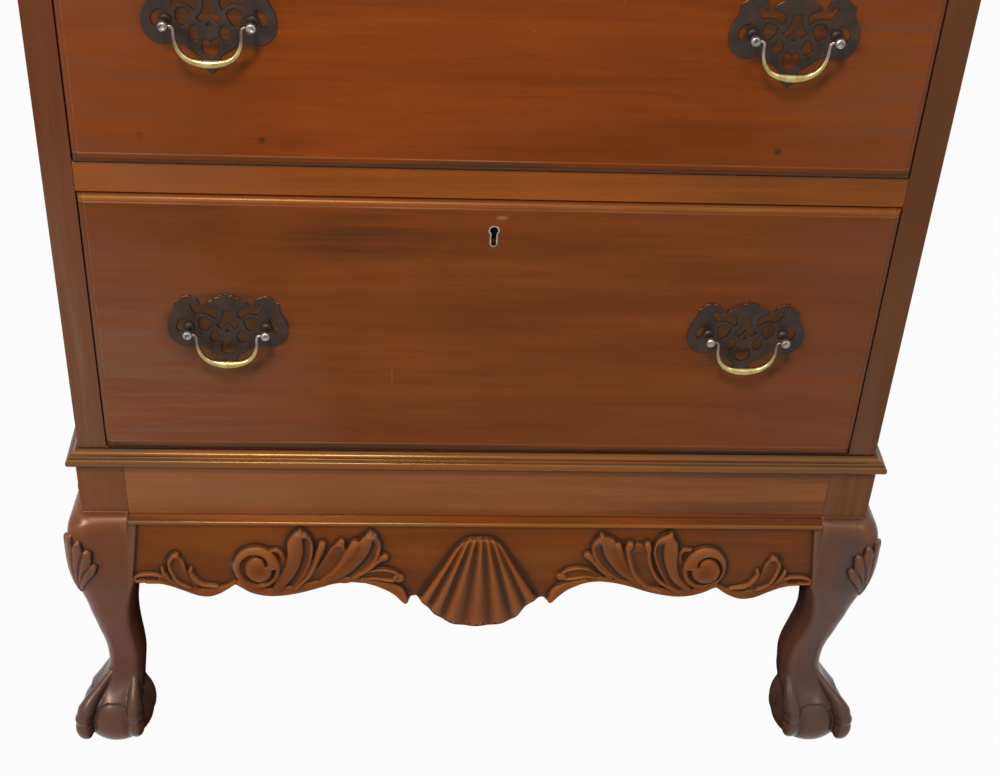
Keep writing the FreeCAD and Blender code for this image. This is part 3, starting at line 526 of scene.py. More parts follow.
def arc_points(run, count=9):
    """Points along a run of the backplate's outline: a line, an arc or a smooth curve."""
    if len(run) == 2:
        return [run[0]]
    if len(run) == 3:
        a, b, c = (complex(*p) for p in run)
        w = (c - a) / (b - a)
        centre = a + (b - a) * (w - abs(w) ** 2) / (w - w.conjugate())
        ends = (b - a) / (c - a)
        begin = math.atan2((a - centre).imag, (a - centre).real)
        turn = (math.atan2((c - centre).imag, (c - centre).real) - begin) % (2 * math.pi)
        if ends.imag > 0:
            turn -= 2 * math.pi
        radius = abs(a - centre)
        angles = [begin + turn * i / count for i in range(count)]
        return [(centre.real + radius * math.cos(t), centre.imag + radius * math.sin(t)) for t in angles]
    return [tuple(p) for p in catmull(run, 4 * len(run))[:-1]]


def chained(start, *runs):
    """Runs of an outline, each led by the last point of the run before it."""
    result = []
    for run in runs:
        result.append([start] + run)
        start = run[-1]
    return result


# The right half of the backplate about the line of its posts. After the start point each list adds
# a line with one point, an arc with two and a smooth curve with more.
PLATE_OUTLINE = chained(
    (0, 39.6), [(3.0, 35.6)], [(5.6, 36.4), (7.6, 33.8)], [(11, 33.8), (13.4, 31)],
    [(18.4, 28.4), (22, 24.2)], [(15.6, 22.6), (10.8, 19.4)], [(9.8, 13.4), (12.6, 8)],
    [(17.4, 12.2), (23, 14.2), (29.6, 13)], [(33.6, 17.4), (35.6, 22)], [(34.6, 26.4), (31.4, 25.8)],
    [(28.6, 23.6), (26.6, 26.8)], [(29.4, 32.6), (37.6, 35.8), (44, 34)], [(47.4, 30.4), (51.6, 28)],
    [(51.4, 21.4), (53.4, 15)],
    [(57.8, 6.4), (59.3, -2.8), (57.2, -13.4), (51, -20.6), (43.6, -23.9), (36, -23.4)],
    [(30.6, -21.4), (25.4, -22.6), (20, -27), (14.6, -30.8), (9.2, -34.4)],
    [(7.2, -40), (6.4, -46.6)], [(3.4, -48.6), (0, -52)])
PLATE_SIDES = [
    chained((40.2, 8.8), [(45.6, 8.2), (49.8, 3.4)], [(50.6, -2.6), (47, -7.6)], [(44, -2.4), (43, 3)],
            [(42, 5.2), (40.2, 8.8)]),
    chained((15.2, 5.4), [(18.4, 9.4), (24, 10.8)], [(28.2, 8.4), (28.6, 2.6)], [(27, -4.6), (22.6, -7)],
            [(18.2, -2.4), (15.2, 5.4)]),
    chained((9.4, -8.4), [(13.6, -5), (17.2, -9)], [(18.2, -15), (13.4, -21)], [(8.8, -16), (9.4, -8.4)]),
]
PLATE_MIDDLES = [
    chained((0, 19), [(4.4, 18.8)], [(4.8, 12.6), (7, 6.4), (11, 1.4)], [(6.8, -4.6)], [(0, 3)]),
    chained((0, -1.6), [(2.6, -5.2)], [(0, -7.4)]),
    chained((0, -21.6), [(3.2, -17.6)], [(5.4, -17.2), (7, -20.4)], [(7.6, -25.6), (5.8, -31.4), (0, -35)]),
]
# Rounding of the plate's edges, and the height over its middle above which faces turned up take the bright
# edge metal, wear with a painted highlight
PLATE_EDGE, BRIGHT_EDGES_ABOVE = 0.4, 22.0


def plate_loops():
    """Closed outlines of the backplate and its piercings, about the middle of its posts."""
    def half(runs):
        return [p for run in runs for p in arc_points(run)]

    def whole(runs):
        right = half(runs) + [runs[-1][-1]]
        left = [(-x, z) for x, z in reversed(right) if x > 0.01]
        return right + left

    loops = [whole(PLATE_OUTLINE)]
    for runs in PLATE_SIDES:
        loop = half(runs)
        loops += [loop, [(-x, z) for x, z in reversed(loop)]]
    loops += [whole(runs) for runs in PLATE_MIDDLES]
    return loops


def make_plate(name, x, z):
    """A pierced backplate with rounded edges, cut from a filled curve."""
    curve = bpy.data.curves.new(name, "CURVE")
    curve.dimensions = "2D"
    curve.fill_mode = "BOTH"
    curve.extrude = (PLATE / 2 - PLATE_EDGE) / 1000
    curve.bevel_depth = PLATE_EDGE / 1000
    curve.bevel_resolution = 2
    curve.offset = -PLATE_EDGE / 1000
    for loop in plate_loops():
        spline = curve.splines.new("POLY")
        spline.points.add(len(loop) - 1)
        for point, (px, pz) in zip(spline.points, loop):
            point.co = (px / 1000, pz / 1000, 0, 1)
        spline.use_cyclic_u = True
    work = linked(name + "_curve", curve)
    deps = bpy.context.evaluated_depsgraph_get()
    mesh = bpy.data.meshes.new_from_object(work.evaluated_get(deps))
    bpy.data.objects.remove(work)
    bpy.data.curves.remove(curve)
    place = Matrix.Translation((x / 1000, (FRONT_FACE - PLATE / 2) / 1000, z / 1000))
    mesh.transform(place @ Matrix.Rotation(math.pi / 2, 4, "X"))
    obj = linked(name, mesh)
    dress(obj, BRONZE, EDGE)
    for p in mesh.polygons:
        p.use_smooth = abs(p.normal.y) < 0.99
        # Faces turned up on the upper edges take the bright edge metal: wear, and a painted highlight
        wear_and_highlight = p.normal.z > 0.5 and p.normal.y < 0.3 and p.center.z > (z + BRIGHT_EDGES_ABOVE) / 1000
        p.material_index = 1 if wear_and_highlight else 0
    return obj


def make_posts(name, x, y, z):
    """Two turned posts with dimpled knobs, and their nuts inside the drawer."""
    knob = [(0.05, -2.5), (1.0, -2.6), (1.9, -3.0), (2.9, -3.9), (3.9, -3.5), (4.8, -2.0), (5.1, -0.2),
            (4.8, 1.7), (3.9, 3.2), (3.0, 4.0)]
    stem = [(2.3, 4.6), (2.2, 7.5), (2.6, 10.5), (3.6, 12.4), (5.0, 13.2), (5.4, 14.2), (5.3, 15.4),
            (2.6, 15.5)]
    nut = [(2.6, 0.1), (6.6, 0.1), (7.0, 0.6), (7.0, 3.3), (6.5, 4.0), (2.5, 4.0), (2.4, 5.0), (0.05, 5.0)]
    rows = [(r, y + d) for r, d in knob + stem] + [(r, FRONT_BACK + d) for r, d in nut]
    parts = []
    for side in (-1, 1):
        parts.append(rings_mesh([ring + [x + side * POST_SPREAD, 0, z] for ring in lathe(rows)]))
    verts, faces = join(parts)
    obj = mesh_object(name, verts, faces)
    dress(obj, POST_METAL, SHADED_STEM)
    # The stems and nuts take the darker bronze, a painted shade on the stems behind the knobs
    for p in obj.data.polygons:
        p.material_index = 0 if p.center.y * 1000 < y + 2.6 else 1
    return obj


# The bail's arms are grey down to this drop below the posts, and turn to bright brass over this length
GREY_ARM, ARM_TO_GRIP = 10, 14
BAIL_STEPS, BAIL_SIDES = 150, 20


def make_bail(name, x, y, z):
    """A cast bail: hooked ends, slim arms, round bends and a swollen grip."""
    half = [(36.5, 0), (33.4, 0.1), (31.2, -0.4), (29.8, -2.0), (29.4, -4.6), (29.3, -9.5), (28.8, -14.5),
            (27.4, -19.8), (24.8, -25.0), (20.6, -29.6), (14.8, -32.8), (7.6, -34.5), (0, -35.0)]
    radii = [1.5, 1.5, 1.55, 1.6, 1.6, 1.65, 1.8, 2.05, 2.35, 2.7, 3.2, 3.9, 4.2]
    points = half + [(-px, pz) for px, pz in reversed(half[:-1])]
    path = catmull([(px, y, pz) for px, pz in points], BAIL_STEPS)
    size = catmull([(r,) for r in radii + radii[-2::-1]], BAIL_STEPS)[:, 0]
    rings = [ring + [x, 0, z] for ring in tube(path, size, BAIL_SIDES)]
    verts, faces = rings_mesh(rings)
    obj = mesh_object(name, verts, faces)
    drop = z - verts[:, 2]
    set_tone(obj, smoothstep((drop - GREY_ARM) / ARM_TO_GRIP))
    dress(obj, BRASS)
    return obj


# Carving

def stroke(x, z, spine, widths, count=28):
    """For points (x, z): the place along a tapering lobe, across it from -1 to 1, and its half width."""
    line = catmull(spine, count)
    width = catmull([(w,) for w in widths], count)[:, 0]
    best = np.full(x.shape, 1e9)
    where = np.zeros(x.shape)
    across = np.zeros(x.shape)
    for i in range(count - 1):
        a, b = line[i], line[i + 1]
        d = b - a
        length = max(np.hypot(*d), 1e-6)
        u = np.clip(((x - a[0]) * d[0] + (z - a[1]) * d[1]) / length ** 2, 0, 1)
        ox, oz = x - a[0] - u * d[0], z - a[1] - u * d[1]
        dist = np.hypot(ox, oz)
        near = dist < best
        best = np.where(near, dist, best)
        where = np.where(near, (i + u) / (count - 1), where)
        across = np.where(near, np.sign(d[0] * oz - d[1] * ox) * dist, across)
    size = np.maximum(np.interp(where, np.linspace(0, 1, count), width), 0.05)
    return where, -across / size, size


def leaf_section(t, q):
    """Section of a large leaf: a ridge on one side, a hollow with a rim on the other, a round tip."""
    ridge = 0.34 + 0.66 * arch((q + 0.40) / 0.64)
    rim = 0.34 + 0.46 * bell(q - 0.84, 0.15) - 0.12 * bell(q - 0.30, 0.10)
    low = np.maximum(np.where(q < 0.24, ridge, 0), np.where(q >= 0.16, rim, 0))
    tip = 0.40 + 0.60 * arch(q)
    blend = smoothstep((t - 0.66) / 0.20)
    return low * (1 - blend) + tip * blend


def lobe(h, x, z, spine, widths, low, high, form):
    """Raises a lobe out of the height field: low and high are its heights at the ends, form its section."""
    pts = np.array(spine)
    reach = np.max(widths) + 2
    inside = ((x > pts[:, 0].min() - reach) & (x < pts[:, 0].max() + reach)
              & (z > pts[:, 1].min() - reach) & (z < pts[:, 1].max() + reach))
    t, s, size = stroke(x[inside], z[inside], spine, widths)
    a = np.abs(s)
    if form == "round":
        section = 0.45 + 0.55 * arch(a)
    elif form == "finger":
        lines = bell(a - 0.58, 0.17) * smoothstep((0.86 - t) / 0.1)
        section = 0.5 + 0.5 * arch(a) - 0.34 * lines
    elif form == "hollow":
        close = smoothstep((t - 0.80) / 0.14)
        section = (0.40 + 0.46 * a ** 2.4) * (1 - close) + (0.62 + 0.3 * arch(a)) * close
    elif form == "loop":
        rim = np.maximum(a, smoothstep((t - 0.72) / 0.22))
        section = 0.36 + 0.6 * bell(rim - 0.80, 0.22)
    else:
        section = leaf_section(t, s if form == "ridge left" else -s)
    value = (low + (high - low) * t) * section * smoothstep((1 - a) * size / 1.1)
    h[inside] = np.where(a < 1, np.maximum(h[inside], value), h[inside])


def volute(h, x, z, centre, radii, turns, hand):
    """A domed scroll with a spiral groove; turns are (degrees, radius, half width) along the groove."""
    dx, dz = hand * (x - centre[0]) / radii[0], (z - centre[1]) / radii[1]
    r = np.hypot(dx, dz)
    angle = np.degrees(np.arctan2(dz, dx)) % 360
    at, place, wide = np.array(turns).T
    inside = r < 1.03
    line = np.interp(angle, at, place)
    half = np.interp(angle, at, wide)
    scale = 0.5 * (radii[0] + radii[1])
    off = np.abs(r - line) * scale
    dome = VOLUTE_EDGE + VOLUTE_DOME * arch(np.clip(r, 0, 1), 5)
    start = smoothstep((angle - at[0]) / 12)
    cut = start * (GROOVE * bell(off, half) + GROOVE_SIDES * bell(off, 2.6 * half))
    value = (dome - cut) * smoothstep((1.02 - r) * scale / 1.3)
    h[inside] = np.maximum(h[inside], value[inside])


# Lobes of the carving: spine points (x, z), half widths along it, height at its foot and its tip, section
LEFT_SPRAY = [
    ([(-262, 257), (-250, 247), (-232, 242), (-210, 244), (-186, 251), (-160, 259), (-132, 262)],
     [5, 6, 6.5, 6.5, 6, 5, 4], 5.0, 3.6, "round"),
    ([(-221, 262), (-217, 276), (-214, 292), (-219, 303), (-227, 303.5)], [5, 5, 4, 3.4, 2.4],
     2.4, 3.6, "round"),
    ([(-188, 252), (-173, 270), (-161, 288), (-154, 304), (-149.8, 317)], [4, 8, 10, 9, 4.5],
     3.0, 5.4, "hollow"),
    ([(-216, 249), (-202, 273), (-195.5, 296), (-194.6, 314), (-194.4, 326), (-194.2, 333)],
     [11, 13.5, 14.5, 15, 10.5, 3], 4.6, 8.6, "ridge left"),
    ([(-201.6, 248.3), (-186.3, 267.6), (-178.5, 287.6), (-173, 305), (-170.6, 314.5)],
     [3.6, 4.4, 4.4, 5.0, 4.6], 5.0, 6.8, "finger"),
    ([(-166, 258), (-146, 271), (-130, 291), (-121, 309), (-118, 324), (-117.8, 332)],
     [9, 15, 17, 15.5, 9.5, 2.4], 4.4, 8.2, "ridge left"),
    ([(-160, 270), (-147.8, 287), (-139.5, 303), (-134.6, 315)], [4, 6, 7.2, 6.4], 4.6, 7.2, "round"),
    ([(-137.6, 265), (-121.4, 277), (-110, 290), (-102.5, 296)], [3.4, 4.2, 4.4, 5], 4.6, 5.6, "finger"),
    ([(-136, 263), (-116, 269), (-99.5, 269), (-86.5, 264)], [3, 7.6, 9.4, 6.4], 3.6, 6.2, "loop"),
    ([(-127, 261), (-106, 254.5), (-89, 246.5), (-79.5, 231)], [3.6, 5.6, 7.6, 4.6], 4.0, 6.6, "round"),
]
RIGHT_SPRAY = [
    ([(268, 259), (256, 250), (240, 243), (216, 244.5), (194, 250), (168, 258.5), (138, 264)],
     [5, 6, 6.5, 6.5, 6, 5, 4], 5.0, 3.6, "round"),
    ([(234, 264), (229, 280), (224.6, 296), (227, 307), (236, 309)], [5, 5, 4, 3.4, 2.4],
     2.4, 3.6, "round"),
    ([(203, 253), (186, 276), (179, 297), (177.5, 311)], [5, 8.5, 9, 7.5], 3.0, 3.8, "hollow"),
    ([(236, 249), (221, 264), (212.5, 285), (208, 307), (208.6, 322), (211.4, 333)],
     [8, 9.5, 12, 14.5, 12, 3], 4.6, 8.6, "ridge right"),
    ([(229, 246), (206, 261), (195, 280.5), (190.4, 297.7), (189, 308), (187, 317)],
     [3.2, 3.6, 3.4, 3.6, 4.2, 4.4], 5.0, 6.6, "finger"),
    ([(209, 247), (190.5, 254.5), (175.5, 274.6), (168, 297), (166, 310), (167.5, 317)],
     [3.4, 4, 4.2, 4.4, 4.8, 4.6], 5.0, 6.8, "finger"),
    ([(178, 259), (160, 275), (147, 294), (141, 308), (137.6, 321), (135, 330)],
     [7, 11.5, 15, 16, 12.5, 3], 4.4, 8.2, "ridge right"),
    ([(172, 272), (161, 290), (155.4, 305), (153, 315)], [4, 5.6, 6.8, 6.0], 4.6, 7.0, "round"),
    ([(150.4, 266.5), (138, 279.6), (128.6, 292), (121.6, 300.5)], [3.4, 4.2, 4.4, 5], 4.6, 5.6, "finger"),
    ([(138, 267), (120, 273.6), (105, 272), (94, 267.6)], [3, 8.2, 9.4, 5.4], 3.6, 6.2, "loop"),
    ([(122, 262.4), (103, 254.6), (91.5, 246.5), (84.4, 233)], [3.6, 5.8, 7.4, 4.6], 4.0, 6.6, "round"),
]
END_LEAF = [
    ([(-358, 255.5), (-340, 253.5), (-324, 247), (-308, 240.5), (-294, 240.5), (-281, 246.5), (-270, 254)],
     [3, 4, 5.4, 6, 6, 5, 2.4], 3.4, 3.4, "round"),
    ([(-313, 249), (-324, 261), (-329.5, 277), (-331, 289), (-329.8, 297)], [4.4, 7.2, 9.4, 8.4, 3.6],
     3.2, 6.4, "hollow"),
    ([(-318, 249), (-330, 257), (-336.5, 272), (-338, 287), (-332.5, 297)], [2.6, 3, 2.8, 2.8, 2.6],
     4.8, 6.6, "round"),
    ([(-288, 249.5), (-303.5, 252.5), (-312, 261), (-315.8, 271), (-314.8, 277)], [3, 4, 4.4, 3.6, 2.4],
     3.8, 5.4, "finger"),
    ([(-330, 251), (-338, 258.5), (-344, 268), (-346.4, 276.5)], [3.2, 4, 3.8, 2.4], 3.8, 5.0, "finger"),
    ([(-338, 257), (-349, 265), (-359, 267.4), (-366.4, 264), (-366.6, 258.6), (-361, 257.6)],
     [2.6, 2.8, 2.8, 2.6, 2.4, 2.0], 3.4, 4.4, "round"),
]
# Volutes: height at the edge and of the dome over it, depth of the groove and of the slopes beside it
VOLUTE_EDGE, VOLUTE_DOME, GROOVE, GROOVE_SIDES = 2.4, 5.4, 4.6, 1.2
# Courses of the grooves, as volute() takes them
LEFT_TURNS = [(15, 0.42, 1.2), (59, 0.56, 1.5), (90, 0.60, 1.9), (140, 0.58, 3.2), (184, 0.60, 4.4),
              (216, 0.66, 4.2), (276, 0.74, 2.8), (330, 0.74, 2.0), (360, 0.70, 1.8), (374, 0.66, 1.8)]
RIGHT_TURNS = [(13, 0.30, 1.0), (65, 0.46, 1.3), (110, 0.57, 1.5), (157, 0.68, 1.8), (190, 0.80, 1.8),
               (217, 0.84, 1.7), (253, 0.76, 2.0), (294, 0.70, 2.4), (360, 0.66, 2.4), (374, 0.62, 2.2)]
# Middle lines of the shell's ribs, from above to below
RIB_TOPS = [(-22.4, 311), (-13.4, 317), (-4.8, 321), (2.6, 322.5), (10, 321.5), (18, 317.5), (26.6, 310)]
RIB_FEET = [(-57.4, 233.3), (-45.6, 217), (-28.2, 203.5), (2.2, 198.6), (29, 203.6), (48, 218.5),
            (62.4, 234.1)]
# Lower edge of the apron in runs between its corners, from left to right
LOW_EDGE = chained(
    (-378, 247),
    [(-368, 250.4), (-358, 253), (-347.5, 252.6), (-329, 244.8), (-310, 235.4), (-298, 233.8),
     (-287, 237.6), (-277, 245), (-267.8, 252.4)],
    [(-258, 245), (-247, 238.6), (-232, 235.2), (-216, 235.5), (-196, 240.2), (-178, 246.6), (-161, 253.4),
     (-148, 256), (-133, 256.2), (-115, 253), (-100.5, 244.5), (-88, 234), (-79, 223)],
    [(-76, 226), (-73.4, 234), (-67.5, 236)],
    [(-61, 229), (-53, 219.5), (-42, 207.5), (-24, 196), (-10, 193.4), (4, 193.2), (24, 195.4), (44, 205),
     (54, 219.5), (62, 229), (68, 233)],
    [(76, 234), (80, 229.6), (83.2, 226.4)],
    [(94, 238.6), (107, 249.6), (121, 256.6), (134, 259.4), (151, 258.8), (172, 253), (191, 245.4),
     (211, 240.2), (228.5, 238), (246, 240.7), (260, 246), (271.5, 251.6)],
    [(286, 240.4), (301, 234), (316, 236), (329, 243), (343, 250.6), (354, 254.6), (365, 255.4), (378, 252)])
CUSPS = [-267.8, -79, 83.2, 271.5]
CARVING_DROP = 2.8
# The apron's ends lean outwards by the slant over this height, from this distance off the middle
END_SLANT, SLANT_HEIGHT, SLANT_START = 10.6, 83.0, 352.0
APRON_COLUMNS, APRON_ROWS = 1060, 210
# Rounding of the ledge's nose, and how deep and how far up the carving is rounded off at the lower edge
NOSE_ROUND, LOW_ROUND, LOW_REACH = 3.2, 2.0, 2.4
SHELL_TOP, SHELL_HEIGHT, SHELL_HALF, SHELL_BROW, BROW_REACH = 326.0, 128.0, 75.0, 324.6, 25.0
# Heights on the shell: its flat and its dome, a rib above and its growth downwards, a nick in the rim
SHELL_FLAT, SHELL_DOME, RIB, RIB_GROWTH, NICK = 1.8, 4.8, 3.2, 1.5, 2.8


def low_edge(x):
    """Height of the apron's lower edge before the drop of the carving."""
    line = []
    for run in LOW_EDGE:
        line += catmull(run, 14 * len(run)).tolist()
    line = np.array(line)
    order = np.argsort(line[:, 0], kind="stable")
    return np.interp(x, line[order, 0], line[order, 1])


def rib_place(x, z):
    """Place across the shell, counted in ribs, so that whole numbers lie on the ribs."""
    xs = []
    for (tx, tz), (fx, fz) in zip(RIB_TOPS, RIB_FEET):
        xs.append(tx + (fx - tx) * (tz - z) / (tz - fz))
    k = np.minimum(0, (x - xs[0]) / np.maximum(xs[1] - xs[0], 1))
    for a, b in zip(xs, xs[1:]):
        k = k + np.clip((x - a) / np.maximum(b - a, 1), 0, 1)
    return k + np.maximum(0, (x - xs[-1]) / np.maximum(xs[-1] - xs[-2], 1))


def shell(h, x, z, edge):
    """The ribbed shell: slim ridges between wide flutes above, broad ribs and a nicked rim below."""
    k = rib_place(x, z)
    v = np.clip((SHELL_TOP - z) / SHELL_HEIGHT, 0, 1)
    side = np.minimum(k + 0.50, 6.50 - k)
    top = SHELL_BROW - 0.00080 * np.minimum(np.abs(x - 2), BROW_REACH) ** 3
    inside = (side > 0) & (z < top) & (np.abs(x) < SHELL_HALF)
    slim = np.abs(np.cos(np.pi * k)) ** 3.0
    full = 1 - np.abs(np.sin(np.pi * k)) ** 2.2
    blend = smoothstep(v / 0.85)
    above_rim = smoothstep((z - edge - 3.0) / 5.0)
    rib = (slim * (1 - blend) + full * blend) * (RIB + RIB_GROWTH * v) * (0.35 + 0.65 * above_rim)
    crown = np.clip(1 - ((k - 3) / 4.2) ** 2, 0, 1) ** 0.8
    dome = SHELL_FLAT + SHELL_DOME * np.sin(np.pi * np.clip(0.14 + 0.60 * v, 0, 1)) * crown
    cuts = np.clip(np.cos(8 * np.pi * k), 0, 1) ** 3 * np.abs(np.cos(np.pi * k))
    nick = cuts * smoothstep((z - edge - 2.4) / 1.2) * smoothstep((edge + 8 - z) / 2.5)
    width = np.clip(0.5 * (40 + 80 * v) / 7, 3, 20)
    skirt = smoothstep(side * width / 2.0) * (0.3 + 0.7 * smoothstep((top - z) / 2.6))
    value = (dome + rib - NICK * nick) * skirt
    h[inside] = np.maximum(h[inside], value[inside])


def eased(h):
    """The height field with its steps softened a little."""
    p = np.pad(h, 1, mode="edge")
    return 0.5 * h + 0.125 * (p[:-2, 1:-1] + p[2:, 1:-1] + p[1:-1, :-2] + p[1:-1, 2:])


def spread(h, rows, cols):
    """The height field averaged over boxes of the given half sizes, twice for a soft edge."""
    for _ in range(2):
        for axis, half in ((0, rows), (1, cols)):
            pad = [(0, 0), (0, 0)]
            pad[axis] = (half + 1, half)
            total = np.cumsum(np.pad(h, pad, mode="edge"), axis=axis)
            count = h.shape[axis]
            upper = np.take(total, range(2 * half + 1, 2 * half + 1 + count), axis=axis)
            lower = np.take(total, range(0, count), axis=axis)
            h = (upper - lower) / (2 * half + 1)
    return h


# Scales of the relief's tone: half sizes in rows and columns, height for the full tone, limit and weight
RELIEF_TONES = [(5, 3, 0.7, 0.3, 0.24), (12, 7, 1.7, 1.0, 0.22), (24, 14, 3.0, 0.8, 0.20)]


def relief_tone(h):
    """From 0 in hollows to 1 on ridges, for a height field."""
    tone = np.full_like(h, 0.5)
    for rows, cols, full, limit, weight in RELIEF_TONES:
        tone += weight * np.clip((h - spread(h, rows, cols)) / full, -1, limit)
    return np.clip(tone, 0, 1)


def apron_relief(x, z, edge):
    """Height of the carving over the apron's ground."""
    h = np.zeros_like(z)
    stem = ((np.abs(x) > 88) & (np.abs(x) < 352)) * smoothstep((9.5 - (z - edge)) / 4.0)
    h = np.maximum(h, 2.6 * stem)
    mirrored = [([(-px, pz + 1) for px, pz in s], w, a, b, f) for s, w, a, b, f in END_LEAF]
    for spray in (LEFT_SPRAY, RIGHT_SPRAY, END_LEAF, mirrored):
        for spine, widths, low, high, form in spray:
            lobe(h, x, z, spine, widths, low, high, form)
    volute(h, x, z, (-243, 279), (26.4, 31), LEFT_TURNS, 1)
    volute(h, x, z, (254, 282), (25, 31.5), RIGHT_TURNS, -1)
    shell(h, x, z, edge)
    return h


def end_lean(z):
    """How far the apron's ends lean outwards at a height."""
    return END_SLANT * np.clip((GROUND_TOP - z) / SLANT_HEIGHT, 0, 1.1)


def apron_skin(xs, edge):
    """Places x and z and height of the carved skin, in rows from the ledge down to the lower edge."""
    share = np.linspace(0, 1, APRON_ROWS)[:, None]
    z = GROUND_TOP + (edge - GROUND_TOP) * share
    x = np.broadcast_to(xs, z.shape).copy()
    h = apron_relief(x, z + CARVING_DROP, edge + CARVING_DROP)
    slope = np.gradient(edge, xs)
    gap = (z - edge) / np.sqrt(1 + slope ** 2)
    round_off = LOW_ROUND * (1 - arch(1 - np.clip(gap / LOW_REACH, 0, 1)))
    h = eased(eased(h - round_off * np.clip(h / 3, 0.25, 1)))
    strip = np.abs(x) > APRON_HALF - APRON_BORDER
    h = np.where(strip, APRON_GROUND - APRON_FRONT + 0.25, h)
    wave = 0.12 * np.sin(x / 17) * np.sin(z / 11) + 0.08 * np.sin(x / 7.3 + z / 5.1)
    return x, z, h + np.where(strip | (h > 0.4), 0, wave)


def apron_nose():
    """Section of the ledge over the apron as (z, y), from behind it over its nose to the ground."""
    r = NOSE_ROUND
    nose = [(KNEE_TOP + 1.6, APRON_BACK)]
    nose += [(KNEE_TOP + up, -STAND_Y - out) for up, out in ((1.6, 0.3), (1.5, 1.5), (1.3, 2.4))]
    nose.append((KNEE_TOP, APRON_FRONT + r))
    for a in np.linspace(0.2, math.pi / 2, 6):
        nose.append((KNEE_TOP - r + r * math.cos(a), APRON_FRONT + r - r * math.sin(a)))
    return nose + [(GROUND_TOP + 1.4, APRON_FRONT), (GROUND_TOP + 0.6, APRON_FRONT + 0.9),
                   (GROUND_TOP + 0.2, APRON_GROUND + 0.6)]


def apron_tone(h, foot):
    """Tone of the apron's rows: the ledge above row foot, the relief and the edge behind it."""
    tone = np.full((foot + len(h) + 1, h.shape[1]), 0.5)
    tone[foot:-1] = relief_tone(h)
    # A dark line at the joint behind the ledge, a lighter nose from wear with a painted highlight, and
    # painted shadow below the nose
    tone[:2], tone[2] = 0.04, 0.30
    tone[5:foot - 2] = 0.75
    tone[foot - 2:foot + 3], tone[foot + 3] = 0.03, 0.25
    return tone.ravel()


def make_apron():
    """The front apron with its ledge, shell, leaf sprays and end leaves as one carved skin."""
    columns = np.linspace(-APRON_HALF, APRON_HALF, APRON_COLUMNS)
    xs = np.unique(np.concatenate([columns, CUSPS]))
    edge = low_edge(xs) - CARVING_DROP
    x, z, h = apron_skin(xs, edge)
    nose = apron_nose()
    grid = [np.stack([xs, np.full_like(xs, ny), np.full_like(xs, nz)], axis=1) for nz, ny in nose]
    grid += [np.stack(row, axis=1) for row in zip(x, APRON_GROUND - h, z)]
    grid.append(np.stack([xs, np.full_like(xs, APRON_BACK), edge], axis=1))
    verts = np.vstack(grid)
    lean = end_lean(verts[:, 2]) * smoothstep((np.abs(verts[:, 0]) - SLANT_START) / 14)
    verts[:, 0] += np.sign(verts[:, 0]) * lean
    cols, count = len(xs), len(grid)
    front = [tuple(reversed(f)) for f in ring_faces(count, cols, closed=False)]
    last = (count - 1) * cols
    back = [(c, c + 1, last + c + 1, last + c) for c in range(cols - 1)]
    left_end = tuple(range(0, count * cols, cols))
    right_end = tuple(reversed(range(cols - 1, count * cols, cols)))
    obj = mesh_object("carved_apron", verts, front + back + [left_end, right_end])
    set_tone(obj, apron_tone(h, len(nose)))
    dress(obj, APRON_WOOD, LEG_WOOD, WAIST_WOOD)
    for p in obj.data.polygons:
        px, pz = abs(p.center.x) * 1000, p.center.z * 1000
        if pz > GROUND_TOP:
            p.material_index = 2
        elif px - end_lean(pz) > APRON_HALF - APRON_BORDER:
            p.material_index = 1
    return obj


# Legs

def leg_ring(a, b, side, r_in, r_side, r_out):
    """Section of a leg from inner a to outer b; side is the place of the faces at the aprons."""
    corners = [((a, a), r_in), ((side, a), r_side), ((b, b), r_out), ((a, side), r_side)]
    points = []
    for i, (c, r) in enumerate(corners):
        c = np.array(c)
        before = np.array(corners[i - 1][0])
        after = np.array(corners[(i + 1) % 4][0])
        p = c + (before - c) / np.linalg.norm(before - c) * r
        q = c + (after - c) / np.linalg.norm(after - c) * r
        for t in np.linspace(0, 1, 14):
            points.append((1 - t) ** 2 * p + 2 * t * (1 - t) * c + t ** 2 * q)
        after_r = corners[(i + 1) % 4][1]
        end = after + (c - after) / np.linalg.norm(c - after) * after_r
        for t in np.linspace(0, 1, 16)[1:-1]:
            points.append(q + (end - q) * t)
    return np.array(points)


# Sections down the knee: height, outer place, place at the aprons and outer rounding
KNEE_LEVELS = [
    (346.0, -0.4, -0.4, 2.0), (345.2, 2.6, 2.8, 8.0), (344.0, 5.8, 6.2, 13.0), (341.8, 9.0, 9.0, 18.0),
    (338.8, 12.2, 11.2, 22.0), (335.2, 15.0, 12.4, 22.0), (330.8, 17.3, 13.0, 22.0),
    (325.0, 18.9, 13.0, 22.0), (316.0, 20.0, 13.0, 22.0), (303.0, 20.7, 13.0, 22.0),
    (292.0, 21.2, 13.0, 22.0), (281.0, 21.2, 13.0, 22.0),
]
# Sections down the shank: height, inner place, outer place and outer rounding
SHANK_LEVELS = [
    (180.0, -43.6, 3.8, 18.0), (163.0, -44.0, 1.0, 17.0), (147.0, -44.8, -1.9, 17.0),
    (131.0, -45.8, -3.9, 17.0), (114.0, -46.2, -4.6, 17.0), (104.0, -45.6, -4.2, 17.0),
    (97.0, -44.8, -3.2, 17.0),
]
